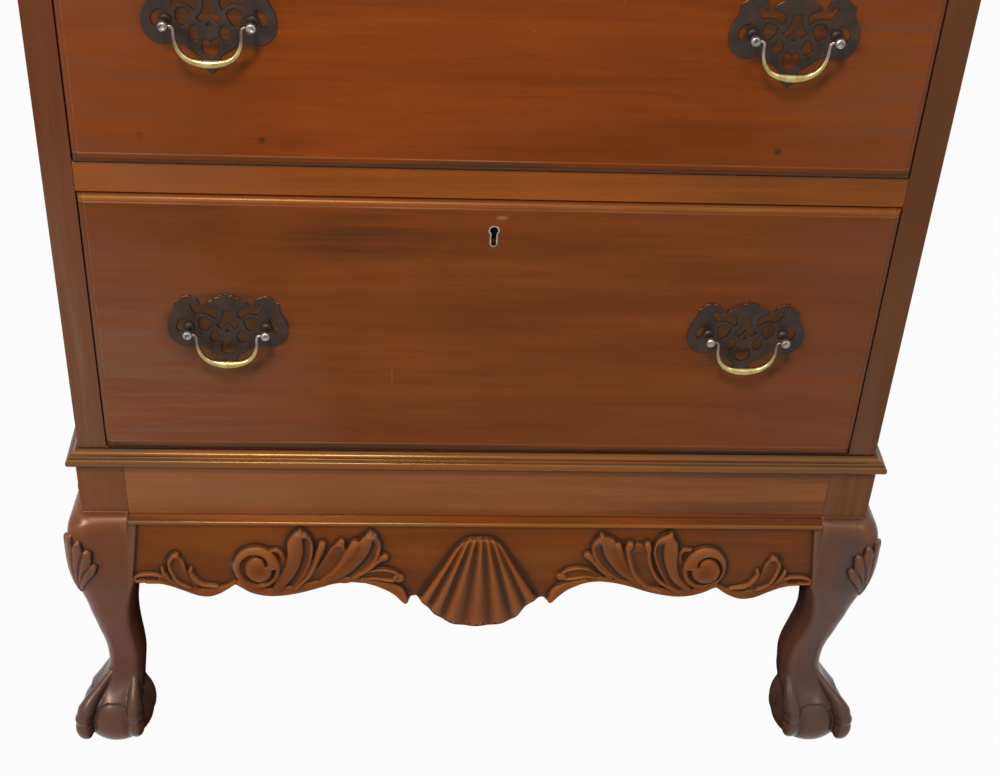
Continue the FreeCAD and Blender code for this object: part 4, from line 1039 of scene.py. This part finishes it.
# Sections of the whole leg: height, inner, outer and side place, inner, side and outer rounding
LEG_LEVELS = [(350.0, -POST, -0.6, -0.6, 0.6, 0.6, 1.0)]
LEG_LEVELS += [(z, -POST, outer, side, 0.6, 0.8, r) for z, outer, side, r in KNEE_LEVELS]
LEG_LEVELS += [
    (269.0, -50.0, 20.6, 13.0, 0.8, 0.9, 22.0), (256.0, -50.0, 18.8, 13.0, 1.5, 2.0, 21.0),
    (247.0, -49.8, 17.0, 12.6, 3.0, 7.0, 20.0), (238.0, -49.2, 14.6, 11.8, 5.0, 11.0, 20.0),
    (227.0, -48.0, 12.0, 10.6, 8.0, 14.0, 19.0), (212.0, -46.0, 9.0, 8.6, 11.0, 16.0, 19.0),
    (195.0, -44.2, 6.4, 6.4, 14.0, 17.0, 18.0),
]
LEG_LEVELS += [(z, inner, outer, outer, 15.0, 17.0, r) for z, inner, outer, r in SHANK_LEVELS]
LEG_STEPS, FLARE_STEPS, BALL_SIDES, BALL_STEPS = 170, 18, 60, 44
# The ball below its middle: its depth and how full it is, less than 1 for fuller
BALL_BELOW, BALL_FULL = 35.0, 0.72


def leg_shank():
    """The leg from its post to the webbed skin that flares over the ball."""
    levels = catmull(LEG_LEVELS, LEG_STEPS)
    levels = levels[np.argsort(-levels[:, 0])]
    rings = []
    for z, a, b, side, r_in, r_side, r_out in levels:
        ring = leg_ring(a, b, side, max(r_in, 0.3), max(r_side, 0.3), max(r_out, 0.3))
        rings.append(np.column_stack([ring, np.full(len(ring), z)]))
    ankle = rings[-1]
    middle = ankle[:, :2].mean(0)
    angle = np.arctan2(ankle[:, 1] - middle[1], ankle[:, 0] - middle[0])
    rise = 56 + 11 * (1 - np.abs(np.sin(2 * angle)) ** 4)
    reach = np.sqrt((BALL + SKIN) ** 2 - (rise - BALL_Z) ** 2)
    rim = np.column_stack([reach * np.cos(angle) - BALL_IN, reach * np.sin(angle) - BALL_IN, rise])
    flare = 1.6 - 0.5 * np.sin(2 * angle) ** 2
    for t in np.linspace(0, 1, FLARE_STEPS)[1:]:
        ring = ankle.copy()
        ring[:, :2] += (rim[:, :2] - ankle[:, :2]) * (t ** flare)[:, None]
        ring[:, 2] += (rim[:, 2] - ankle[:, 2]) * t
        rings.append(ring)
    for shrink, drop in ((0.86, 2.0), (0.2, 24.0)):
        ring = rim.copy()
        ring[:, :2] = (ring[:, :2] + BALL_IN) * shrink - BALL_IN
        ring[:, 2] -= drop
        rings.append(ring)
    return rings_mesh(rings)


def ball_mesh():
    """The ball in the claw, fuller below its middle and flat on the floor."""
    rings = []
    t = np.linspace(0, 2 * math.pi, BALL_SIDES, endpoint=False)
    for a in np.radians(np.linspace(-89, 89, BALL_STEPS)):
        r, z = BALL * math.cos(a), BALL_Z + BALL * math.sin(a)
        if a < 0:
            r = BALL * math.cos(a) ** BALL_FULL
            z = max(0.0, BALL_Z + BALL_BELOW * math.sin(a))
        ring = [r * np.cos(t) - BALL_IN, r * np.sin(t) - BALL_IN, np.full(BALL_SIDES, z)]
        rings.append(np.column_stack(ring))
    return rings_mesh(rings)


# A talon from the ankle to its nail: height, share of the way out, radius
TOE = [(104, 0.02, 3.0), (97, 0.10, 3.6), (90, 0.235, 4.6), (82, 0.43, 5.6), (75, 0.61, 6.8),
       (66, 0.79, 8.6), (58, 0.90, 10.2), (52, 0.955, 9.4), (47.5, 0.985, 10.4), (44.5, 0.99, 9.6)]
NAIL = [(45, 0.97, 8.2), (40, 0.985, 9.8), (34, 1.0, 10.4), (27, 0.99, 9.8), (21, 0.97, 8.0),
        (16, 0.95, 5.0)]
# Where each talon leaves the ankle and where it grips, and how far it is lowered
TALONS = [((-14.5, -14.5), (24.6, 24.6), 0.0), ((-34.5, -14.5), (-34.0, 20.8), 0.0),
          ((-15.5, -33.0), (18.0, -36.0), 14.0)]
# The back talon: place and radius
HEEL = [(-28, -30, 72, 7.0), (-34, -24, 64, 11.0), (-38, -20, 53, 14.0), (-39, -18, 41, 15.0),
        (-38, -17, 29, 13.6), (-34, -17, 18, 9.0)]


def talon_parts():
    """Skins of the toes, nails and back talon."""
    parts = []
    for start, grip, lower in TALONS:
        start, grip = np.array(start), np.array(grip)
        for run, count in ((TOE, 50), (NAIL, 26)):
            line = catmull(run, count)
            path = start + (grip - start) * line[:, 1:2]
            path = np.column_stack([path, line[:, 0] - lower])
            parts.append(rings_mesh(tube(path, line[:, 2], 22)))
    line = catmull(HEEL, 30)
    parts.append(rings_mesh(tube(line[:, :3], line[:, 3], 30)))
    return parts


# Lobes of the knee's leaf: distance from the leg's corner and height, half widths, heights at the ends
KNEE_LOBES = [
    ([(0, 240), (0, 272), (0, 300), (0.5, 320)], [2.4, 5.6, 7.4, 5.4], 1.6, 4.0),
    ([(2, 241), (8, 274), (11.4, 298), (12.6, 314)], [2.4, 5.6, 7.4, 5.2], 1.6, 4.2),
    ([(3, 241.5), (12.6, 271), (18.6, 288), (22, 301)], [2.4, 5.4, 7.2, 5.2], 1.6, 4.0),
    ([(4, 242), (14.4, 262), (21.6, 274), (26.4, 282)], [2.4, 5.0, 6.4, 4.6], 1.6, 3.6),
]


def knee_leaf(c, z):
    """Height of the leaf on the knee over the leg's skin, with grooves between its lobes."""
    h = np.zeros(len(c))
    second = np.zeros(len(c))
    for spine, widths, low, high in KNEE_LOBES:
        t, s, size = stroke(c, z, spine, widths)
        a = np.abs(s)
        section = 0.30 + 0.70 * arch(a)
        value = (low + (high - low) * t) * section * smoothstep((1 - a) * size / 1.2)
        value = np.where(a < 1, value, 0)
        second = np.maximum(second, np.minimum(h, value))
        h = np.maximum(h, value)
    groove = bell(h - second, 0.55) * smoothstep(second / 0.8)
    return h - 1.5 * groove


# Heights between which the knee's leaf grows, and between which the leg stays flush with its post
LEAF_LOW, LEAF_HIGH, FLUSH_LOW, FLUSH_HIGH = 232, 340, 252, 352
# Scales of the leg's tone, as hollow_tone() takes them
LEG_TONES = [(10, 0.5, 0.6), (60, 1.5, 0.45), (220, 3.2, 0.35)]


def leg_mesh():
    """Points, quads and tone of a leg below its post, in distances out of the stand's corner."""
    verts, faces = join([leg_shank(), ball_mesh()] + talon_parts())
    verts, quads = remeshed(verts, faces, LEG_VOXEL)
    verts = relaxed(verts, edge_pairs(quads), 3)
    normal = vertex_normals(verts, quads)
    outer = (verts[:, 2] > LEAF_LOW) & (verts[:, 2] < LEAF_HIGH) & (verts[:, 0] + verts[:, 1] > 0)
    outer &= normal[:, 0] + normal[:, 1] > 0.35
    h = knee_leaf(np.abs(verts[:, 1] - verts[:, 0]), verts[:, 2])
    verts = verts + normal * (h * outer)[:, None]
    verts[:, 2] = np.maximum(verts[:, 2], 0)
    flush = (verts[:, 2] > FLUSH_LOW) & (verts[:, 2] < FLUSH_HIGH)
    verts[flush, :2] = np.maximum(verts[flush, :2], -POST + 0.05)
    tone = hollow_tone(verts, quads, LEG_TONES)
    # Faces turned inwards get less gloss and painted shade
    inwards = -vertex_normals(verts, quads)[:, :2]
    dull_and_shaded = smoothstep((inwards - 0.12) / 0.45).max(axis=1)
    return verts, quads, tone, dull_and_shaded


def post_mesh():
    """The square post above the knee, with eased edges."""
    e = POST_EASE
    rings = []
    for z, inset in ((KNEE_TOP + 1, 0), (STAND_TOP - e, 0), (STAND_TOP, e)):
        lo, hi = -POST + inset, -inset
        ring = [(lo, lo + e), (lo + e, lo), (hi - e, lo), (hi, lo + e), (hi, hi - e), (hi - e, hi)]
        ring += [(lo + e, hi), (lo, hi - e)]
        rings.append(np.column_stack([np.array(ring), np.full(8, z)]))
    return rings_mesh(rings)


# The stouter leg: how far its foot is set in, the share by which it is broader, the fullness of its shank
FOOT_INSET, FOOT_BROADER, SHANK_FULLER = 4.8, 0.05, 7.4


def stouter(verts):
    """The leg with its foot broader and set inwards and its shank fuller on the inner side."""
    v = verts.copy()
    z = v[:, 2]
    v[:, 0] -= FOOT_INSET * smoothstep((245 - z) / 130)
    v[:, 0] += FOOT_BROADER * (verts[:, 0] + BALL_IN) * smoothstep((100 - z) / 40)
    full = smoothstep((202 - z) / 86) * smoothstep((z - 40) / 50)
    v[:, 0] -= SHANK_FULLER * full * smoothstep((-14 - verts[:, 0]) / 24)
    return v


def place_leg(name, verts, faces, sx, sy):
    """A leg's points moved to one corner of the stand."""
    v = np.column_stack([sx * (STAND_X + verts[:, 0]), sy * (STAND_Y + verts[:, 1]), verts[:, 2]])
    if sx * sy < 0:
        faces = [tuple(reversed(f)) for f in faces]
    return mesh_object(name, v, faces)


# Waist moulding: distance out from the case and height, from its foot over the nose to the top
WAIST = [(0.0, 0.0), (9.8, 0.0), (11.4, 0.7), (12.3, 2.2), (12.5, 4.2), (12.4, 6.2), (11.8, 7.8),
         (10.8, 8.8), (9.8, 9.1), (9.3, 9.5), (9.1, 10.4), (9.1, 11.4), (8.8, 12.0), (8.2, 12.3), (7.2, 12.6),
         (5.6, 13.4), (4.2, 14.6), (3.2, 16.0), (2.6, 17.6), (2.4, 18.4), (0.0, 18.4)]
WAIST_CREASES = (0, 1, 9, 13, 19, 20)
# Tones of the moulding's rows: darker in its creases and on its underside, a painted shade, and one plain
# tone elsewhere
WAIST_CREASE_TONES = {0: 0.2, 1: 0.3, 8: 0.06, 9: 0.04, 10: 0.3, 13: 0.15, 14: 0.3, 18: 0.3, 19: 0.04, 20: 0.04}
WAIST_OPEN_TONE = 0.72


def make_waist():
    """The moulding between stand and case, mitred at its front corners."""
    rows = []
    for out, up in WAIST:
        x, y, z = CASE_X + out, CASE_FRONT - out, STAND_TOP + up
        rows.append(np.array([(-x, CASE_BACK, z), (-x, y, z), (x, y, z), (x, CASE_BACK, z)]))
    verts = np.vstack(rows)
    faces = ring_faces(len(rows), 4, closed=False)
    first, last = range(0, len(verts), 4), range(3, len(verts), 4)
    faces += [tuple(first), tuple(reversed(last))]
    obj = mesh_object("waist_moulding_run", verts, [tuple(reversed(f)) for f in faces])
    sharp = obj.data.attributes.new("sharp_edge", "BOOLEAN", "EDGE")
    for edge in obj.data.edges:
        a, b = edge.vertices
        across = a // 4 == b // 4
        sharp.data[edge.index].value = a // 4 in WAIST_CREASES if across else True
    order = range(len(WAIST))
    set_tone(obj, np.repeat([WAIST_CREASE_TONES.get(row, WAIST_OPEN_TONE) for row in order], 4))
    # The underside gets less gloss and painted shade
    set_tone(obj, np.repeat([max(0.0, 1 - row / 4) for row in order], 4), "dull_and_shaded")
    dress(obj, WAIST_WOOD)
    return obj


# Materials in use

BRONZE = bronze("dark_bronze", (0.020, 0.012, 0.009), (0.032, 0.018, 0.013), (0.058, 0.027, 0.017))
# Darker bronze for the posts' stems and nuts, a painted shade on the stems
SHADED_STEM = bronze("dark_stem", (0.014, 0.009, 0.007), (0.024, 0.014, 0.010), (0.045, 0.024, 0.016))
EDGE = worn_and_lit_edge("bronze_edges")
BRASS = brass("bail_brass")
POST_METAL = worn_plating("post_metal", (0.09, 0.075, 0.065), (0.38, 0.34, 0.30), 0.30)
# Painted black behind the drawer front, for the shade inside the keyhole
LOCK_METAL = worn_plating("lock_metal", (0.16, 0.13, 0.10), (0.46, 0.42, 0.35), 0.34,
                          FRONT_FACE / 1000 + 0.001)

# Marks on the front as mahogany() takes them
# Smudges and pale marks on the bottom drawer, and a painted pinkish sheen on its ends
SMUDGES_AND_SHEEN = [(-0.131, 0.694, 0.085, 0.034, 0.80, DARK_WOOD), (-0.155, 0.698, 0.050, 0.014, 0.80, DARK_WOOD),
           (0.007, 0.7208, 0.007, 0.003, 0.45, PALE_WEAR_AND_HIGHLIGHT), (-0.0966, 0.533, 0.0008, 0.016, 0.3, PALE_WEAR_AND_HIGHLIGHT),
           (-0.42, 0.46, 0.28, 0.26, 0.70, MUTED_SHEEN), (0.43, 0.50, 0.22, 0.36, 0.55, ROSY_SHEEN),
           (-0.40, 0.68, 0.16, 0.16, 0.15, ROSY_SHEEN)]
# Chips, pale and dark patches on the carving, and painted shade on its right side
CHIPS_AND_SHADE = [(-0.270, 0.277, 0.0032, 0.009, 1.5, CHIP), (-0.194, 0.328, 0.009, 0.0035, 0.9, CHIP),
         (-0.117, 0.327, 0.008, 0.0035, 0.9, CHIP), (-0.26, 0.31, 0.12, 0.025, 0.5, PALE_WOOD),
         (-0.075, 0.295, 0.03, 0.02, 0.5, PALE_WOOD), (0.09, 0.29, 0.05, 0.03, 0.6, PALE_WOOD),
         (0.30, 0.29, 0.05, 0.02, 0.5, PALE_WOOD), (-0.315, 0.272, 0.06, 0.034, 0.45, DARK_WOOD),
         (-0.105, 0.268, 0.05, 0.045, 0.45, DARK_WOOD), (0.12, 0.266, 0.06, 0.04, 0.4, DARK_WOOD),
         (0.37, 0.30, 0.18, 0.12, 0.55, SIDE_SHADE)]
# Painted light and shade: lighter towards the left and darker towards the right on the rails, frieze, posts
# and stiles, darker at both ends of the moulding, and a painted pinkish sheen on the stiles
STILE_SHADING = [(-0.41, 0.45, 0.10, 0.36, 0.8, MUTED_SHEEN), (0.41, 0.45, 0.10, 0.30, 0.35, MUTED_SHEEN),
              (0.41, 0.98, 0.12, 0.46, 0.75, SIDE_SHADE)]
RAIL_SHADING = [(0.40, 0.753, 0.26, 0.20, 0.55, SIDE_SHADE),
             (-0.40, 0.753, 0.22, 0.20, 0.40, (0.25, 0.100, 0.050))]
FRIEZE_SHADING = [(0.42, 0.375, 0.34, 0.20, 0.70, SIDE_SHADE),
               (-0.40, 0.375, 0.34, 0.20, 0.55, (0.30, 0.120, 0.056))]
WAIST_SHADING = [(-0.44, 0.39, 0.20, 0.30, 1.3, SIDE_SHADE), (0.46, 0.39, 0.40, 0.30, 1.1, SIDE_SHADE)]
# Painted shade on the legs of the right side
LEG_SHADING = [(0.42, 0.14, 0.14, 0.32, 0.80, DARK_GREY_BROWN), (0.45, 0.28, 0.14, 0.16, 0.75, DARK_GREY_BROWN)]
POST_SHADING = [(0.44, 0.375, 0.14, 0.40, 0.60, SIDE_SHADE)]
# Knots on the middle drawer, and a painted pinkish sheen on its ends
KNOTS_AND_SHEEN = [(-0.329, 0.802, 0.0040, 0.0060, 1.2, DARK_WOOD), (-0.218, 0.798, 0.0045, 0.0044, 1.4, DARK_WOOD),
         (0.262, 0.798, 0.0048, 0.0048, 2.2, DARK_WOOD), (-0.44, 0.90, 0.22, 0.40, 0.40, ROSY_SHEEN),
         (0.44, 0.90, 0.22, 0.40, 0.40, ROSY_SHEEN)]
# Width of a drawer front's lip, and a half size larger than any front, for marks that run right across
LIP, ACROSS = 0.0065, 9.0


def front_box(drawer):
    """Left, right, lower and upper edge of a drawer's front, in metres to a tenth of a millimetre."""
    least, _, _, _, _, _, most, _ = nodes[drawer + "_front"].bound_box
    return [round(v, 4) for v in (least[0], most[0], least[2], most[2])]


def handle_places(drawer):
    """Places of the drawer's bails as (x, z) in metres."""
    return [(j["pos_m"][0], j["pos_m"][2]) for j in frame["joints"]
            if j["parent"] == drawer and j["name"].endswith("_swing")]


def front_wood(drawer, shift, tint, marks, handle_shade_and_dirt):
    """A drawer front's wood, with painted shade on its lower lip, in its side gaps and under its upper lip,
    painted highlights along its arrises and upper lip, and painted shadow with dirt behind its handles.
    """
    left, right, low, high = front_box(drawer)
    # Painted shade on the lower lip with a painted highlight on its arris; at the upper lip painted
    # highlights with painted shade below them
    lines = [(0, low + 0.002, ACROSS, 0.0100, 2.0, DARK_SHADE_BROWN),
             (0, low + LIP + 0.0054, ACROSS, 0.0008, 0.5, PALE_WEAR_AND_HIGHLIGHT),
             (0, high - LIP, ACROSS, 0.0008, 0.6, PALE_WEAR_AND_HIGHLIGHT),
             (0, high - LIP - 0.0035, ACROSS, 0.003, 0.3, DARK_WOOD),
             (0, high - 0.003, ACROSS, 0.004, 0.5, LIP_HIGHLIGHT)]
    # Painted highlights along the side arrises, and painted shade in the gaps at the sides
    lines += [(x, 0, 0.0008, ACROSS, 0.22, PALE_WEAR_AND_HIGHLIGHT) for x in (left + LIP, right - LIP)]
    lines += [(x, 0, 0.007, ACROSS, 0.35, DARK_WOOD) for x in (left, right)]
    # Painted shadow of each backplate, with dirt, round and below it, darkest within its outline
    for x, z in handle_places(drawer):
        lines.append((x, z - 0.008, 0.075, 0.056, handle_shade_and_dirt, DARK_WOOD))
        lines.append((x, z + 0.001, 0.066, 0.039, 4.0 * handle_shade_and_dirt, DARK_SHADE_BROWN))
    return polished(drawer + "_wood", "X", shift, tint, marks=list(marks) + lines)


# Drawer: place in the board, tint, marks on its front, and the depth of painted shadow and dirt behind its
# handles
FRONTS = {
    "bottom_drawer": ((3.1, 0, 1.7), (0.81, 0.77, 0.9), SMUDGES_AND_SHEEN, 0.8),
    "middle_drawer": ((7.4, 0, 5.2), (0.90, 0.73, 0.4), KNOTS_AND_SHEEN, 0.4),
    "upper_drawer": ((1.3, 0, 8.6), (0.92, 0.82, 0.6), (), 0.4),
    "small_left_drawer": ((5.5, 0, 2.9), (0.91, 0.83, 0.7), (), 0.4),
    "small_right_drawer": ((9.2, 0, 6.1), (0.91, 0.83, 0.7), (), 0.4),
}
WOODS = {}
for drawer, looks in FRONTS.items():
    WOODS[drawer + "_front"] = front_wood(drawer, *looks)
RAIL_WOOD = polished("rail_wood", "X", (0.4, 0.2, 0.9), (1.10, 1.24, 1.1), marks=RAIL_SHADING)
FRIEZE_WOOD = polished("frieze_wood", "X", (2.9, 1.2, 5.9), (1.30, 1.84, 3.6), marks=FRIEZE_SHADING,
                       figure=0.7)
MOULDING_WOOD = polished("moulding_wood", "X", (1.9, 2.2, 3.9), (1.1, 1.45, 1.3), POLISH)
WAIST_WOOD = carved_wood("waist_wood", "X", (1.9, 2.2, 3.9), (0.94, 1.10, 1.0), GILT,
                         wear_and_sheen=(0.20, 0.062, 0.016), marks=WAIST_SHADING)
STILE_WOOD = polished("stile_wood", "Z", (2.7, 0.6, 0.3), (0.55, 0.70, 2.0), marks=STILE_SHADING)
POST_WOOD = polished("stand_post_wood", "Z", (5.7, 1.6, 1.3), (0.92, 1.45, 3.8), marks=POST_SHADING,
                     figure=0.5)
SIDE_WOOD = polished("side_wood", "Z", (4.4, 1.6, 3.3), (0.9, 1.0, 1.1))
DEPTH_WOOD = polished("return_wood", "Y", (1.4, 2.6, 4.3), (0.9, 1.1, 1.3))
APRON_WOOD = carved_wood("carved_apron_wood", "X", (6.2, 0.3, 2.2), (0.86, 0.88, 0.75), CARVED, marks=CHIPS_AND_SHADE)
LEG_WOOD = carved_wood("carved_leg_wood", "Z", (8.1, 0.7, 1.1), (0.76, 0.90, 1.4), WAXED,
                       hollow=(0.026, 0.012, 0.009), wear_and_sheen=(0.17, 0.066, 0.030), marks=LEG_SHADING, figure=0.5)
INNER_WOOD = plain_wood("drawer_wood", "Y")
BACK_WOOD = plain_wood("back_wood", "Z")

WOODS["drawer_rails"] = RAIL_WOOD
WOODS["stand_rails"] = FRIEZE_WOOD
WOODS["side_aprons"] = DEPTH_WOOD
WOODS["back_panel"] = BACK_WOOD
WOODS["cornice_moulding"] = WOODS["top_board"] = MOULDING_WOOD
WOODS["left_stile"] = WOODS["right_stile"] = WOODS["small_drawer_divider"] = STILE_WOOD
WOODS["left_side_panel"] = WOODS["right_side_panel"] = SIDE_WOOD
for name in nodes:
    if name.endswith(("_box", "_drawer_bottom", "case_bottom", "runners")):
        WOODS[name] = INNER_WOOD
    if name.endswith(("_lock", "_lock_bolt")):
        WOODS[name] = LOCK_METAL


EASED, HARDLY_EASED = 0.7, 0.3


def ease_edges(node, width):
    """Rounds the sharp edges of a CAD node for the light to catch."""
    weld = node.modifiers.new("weld", "WELD")
    weld.merge_threshold = 0.00002
    bevel = node.modifiers.new("ease", "BEVEL")
    bevel.width = width / 1000
    bevel.segments = 2
    bevel.limit_method = "ANGLE"
    bevel.angle_limit = math.radians(50)
    bevel.harden_normals = True


for name, material in WOODS.items():
    dress(nodes[name], material)
for name in ("drawer_rails", "left_stile", "right_stile", "left_side_panel", "right_side_panel",
             "small_drawer_divider", "back_panel"):
    ease_edges(nodes[name], EASED)
ease_edges(nodes["stand_rails"], HARDLY_EASED)

# Carved stand and moulding

apron = make_apron()
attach(apron, "case")
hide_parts("front_apron", "apron_shell", "apron_leaves")

waist = make_waist()
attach(waist, "case")
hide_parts("waist_moulding")

leg_points, leg_faces, leg_tone, leg_dull_and_shaded = leg_mesh()
post_points, post_faces = post_mesh()
for side, sx in (("right", 1), ("left", -1)):
    for end, sy in (("front", -1), ("back", 1)):
        name = end + "_" + side + "_leg"
        points = stouter(leg_points) if name == "front_right_leg" else leg_points
        leg = place_leg(name + "_carved", points, leg_faces, sx, sy)
        set_tone(leg, leg_tone)
        set_tone(leg, leg_dull_and_shaded, "dull_and_shaded")
        dress(leg, LEG_WOOD)
        post = place_leg(name + "_post", post_points, post_faces, sx, sy)
        post.data.polygons.foreach_set("use_smooth", [False] * len(post.data.polygons))
        dress(post, POST_WOOD)
        for piece in (leg, post):
            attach(piece, "case")
        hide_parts(name)

# Handles on their drawers

for joint in frame["joints"]:
    if not joint["name"].endswith("_swing"):
        continue
    body, drawer = joint["child"], joint["parent"]
    hx, hy, hz = (1000 * v for v in joint["pos_m"])
    bail = make_bail(body + "_cast", hx, hy, hz)
    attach(bail, body)
    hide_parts(body)
    plate = make_plate(body.replace("bail", "plate") + "_pierced", hx, hz)
    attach(plate, drawer)
    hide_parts(drawer + "_backplates")
    posts = make_posts(body.replace("bail", "posts") + "_turned", hx, hy, hz)
    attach(posts, drawer)
    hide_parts(drawer + "_posts")

# Stage: floor, light and camera

FLOOR_HALF = 9.0
FLOOR_COLOUR, DAYLIGHT, WHITE = (0.2, 0.197, 0.194, 1), (1.0, 0.99, 0.97, 1), (1, 1, 1, 1)
FLOOR_SEEN_WHITE, DAYLIGHT_LEVEL = 0.97, 0.20


def seen_directly(tree):
    """1 for rays from the camera, mirrors and glass, 0 for the light that the stage gives."""
    path = tree.node("ShaderNodeLightPath").outputs
    first = tree.math("MAXIMUM", path["Is Camera Ray"], path["Is Glossy Ray"])
    return tree.math("MAXIMUM", first, path["Is Transmission Ray"])


floor_mesh = bpy.data.meshes.new("floor")
floor_corners = [(x * FLOOR_HALF, y * FLOOR_HALF, 0) for x, y in ((-1, -1), (1, -1), (1, 1), (-1, 1))]
floor_mesh.from_pydata(floor_corners, [], [(0, 1, 2, 3)])
floor = linked("floor", floor_mesh)
white = bpy.data.materials.new("floor_white")
tree = Tree(white)
diffuse = tree.node("ShaderNodeBsdfDiffuse", FLOOR_COLOUR)
glow = tree.node("ShaderNodeEmission", WHITE, 1.0)
share = tree.math("MULTIPLY", seen_directly(tree), FLOOR_SEEN_WHITE)
blend = tree.node("ShaderNodeMixShader", share, diffuse.outputs[0], glow.outputs[0])
tree.node("ShaderNodeOutputMaterial", blend.outputs[0])
dress(floor, white)

scene.world = bpy.data.worlds.new("studio")
tree = Tree(scene.world)
light = tree.node("ShaderNodeBackground", DAYLIGHT, DAYLIGHT_LEVEL)
seen = tree.node("ShaderNodeBackground", WHITE, 1.0)
blend = tree.node("ShaderNodeMixShader", seen_directly(tree), light.outputs[0], seen.outputs[0])
tree.node("ShaderNodeOutputWorld", blend.outputs[0])

LAMP_AIM = Vector((0, -0.2, 0.6))
# Lamp: place, width and height, power in watts, colour
LAMPS = {
    "left_lamp": ((-1.5, -1.9, 2.0), (0.45, 0.45), 38, (1.0, 0.98, 0.96)),
    "right_lamp": ((1.5, -1.9, 2.3), (0.45, 0.45), 8, (1, 1, 1)),
    "top_lamp": ((-0.35, -1.7, 2.9), (0.5, 0.35), 42, (1.0, 0.97, 0.92)),
}
for name, (place, size, power, colour) in LAMPS.items():
    lamp = bpy.data.lights.new(name, "AREA")
    lamp.shape = "RECTANGLE"
    lamp.size, lamp.size_y = size
    lamp.energy = power
    lamp.color = colour
    softbox = linked(name, lamp)
    softbox.location = place
    softbox.rotation_euler = (LAMP_AIM - Vector(place)).to_track_quat("-Z", "Y").to_euler()

# Camera fitted to the photo's straight edges: yaw, pitch and roll in degrees, its place off the case's front
# in metres, found on a trial case of another width and so scaled, and the focal length in pixels
CAMERA_TURN = (-4.37, 36.41, -3.31)
CAMERA_X, CAMERA_Y, CAMERA_Z = -0.0964, -1.4692, 1.6418
FOCAL_PIXELS, PHOTO_WIDTH, SENSOR = 1645.5, 1000, 36
VIEW_SCALE = 848 / 914
yaw, pitch, roll = (math.radians(a) for a in CAMERA_TURN)
right = Vector((math.cos(yaw), math.sin(yaw), 0))
ahead = Vector((-math.sin(yaw) * math.cos(pitch), math.cos(yaw) * math.cos(pitch), -math.sin(pitch)))
down = ahead.cross(right)
image_x = math.cos(roll) * right + math.sin(roll) * down
image_y = -math.sin(roll) * right + math.cos(roll) * down
camera_data = bpy.data.cameras.new("camera")
camera_data.sensor_fit = "HORIZONTAL"
camera_data.sensor_width = SENSOR
camera_data.lens = FOCAL_PIXELS * SENSOR / PHOTO_WIDTH
camera_data.clip_start = 0.05
camera = linked("camera", camera_data)
turn = Matrix((image_x, -image_y, -ahead)).transposed().to_4x4()
stand = (CAMERA_X * VIEW_SCALE, CASE_FRONT / 1000 + CAMERA_Y * VIEW_SCALE, CAMERA_Z * VIEW_SCALE)
camera.matrix_world = Matrix.Translation(stand) @ turn
scene.camera = camera

scene.view_settings.view_transform = "Standard"
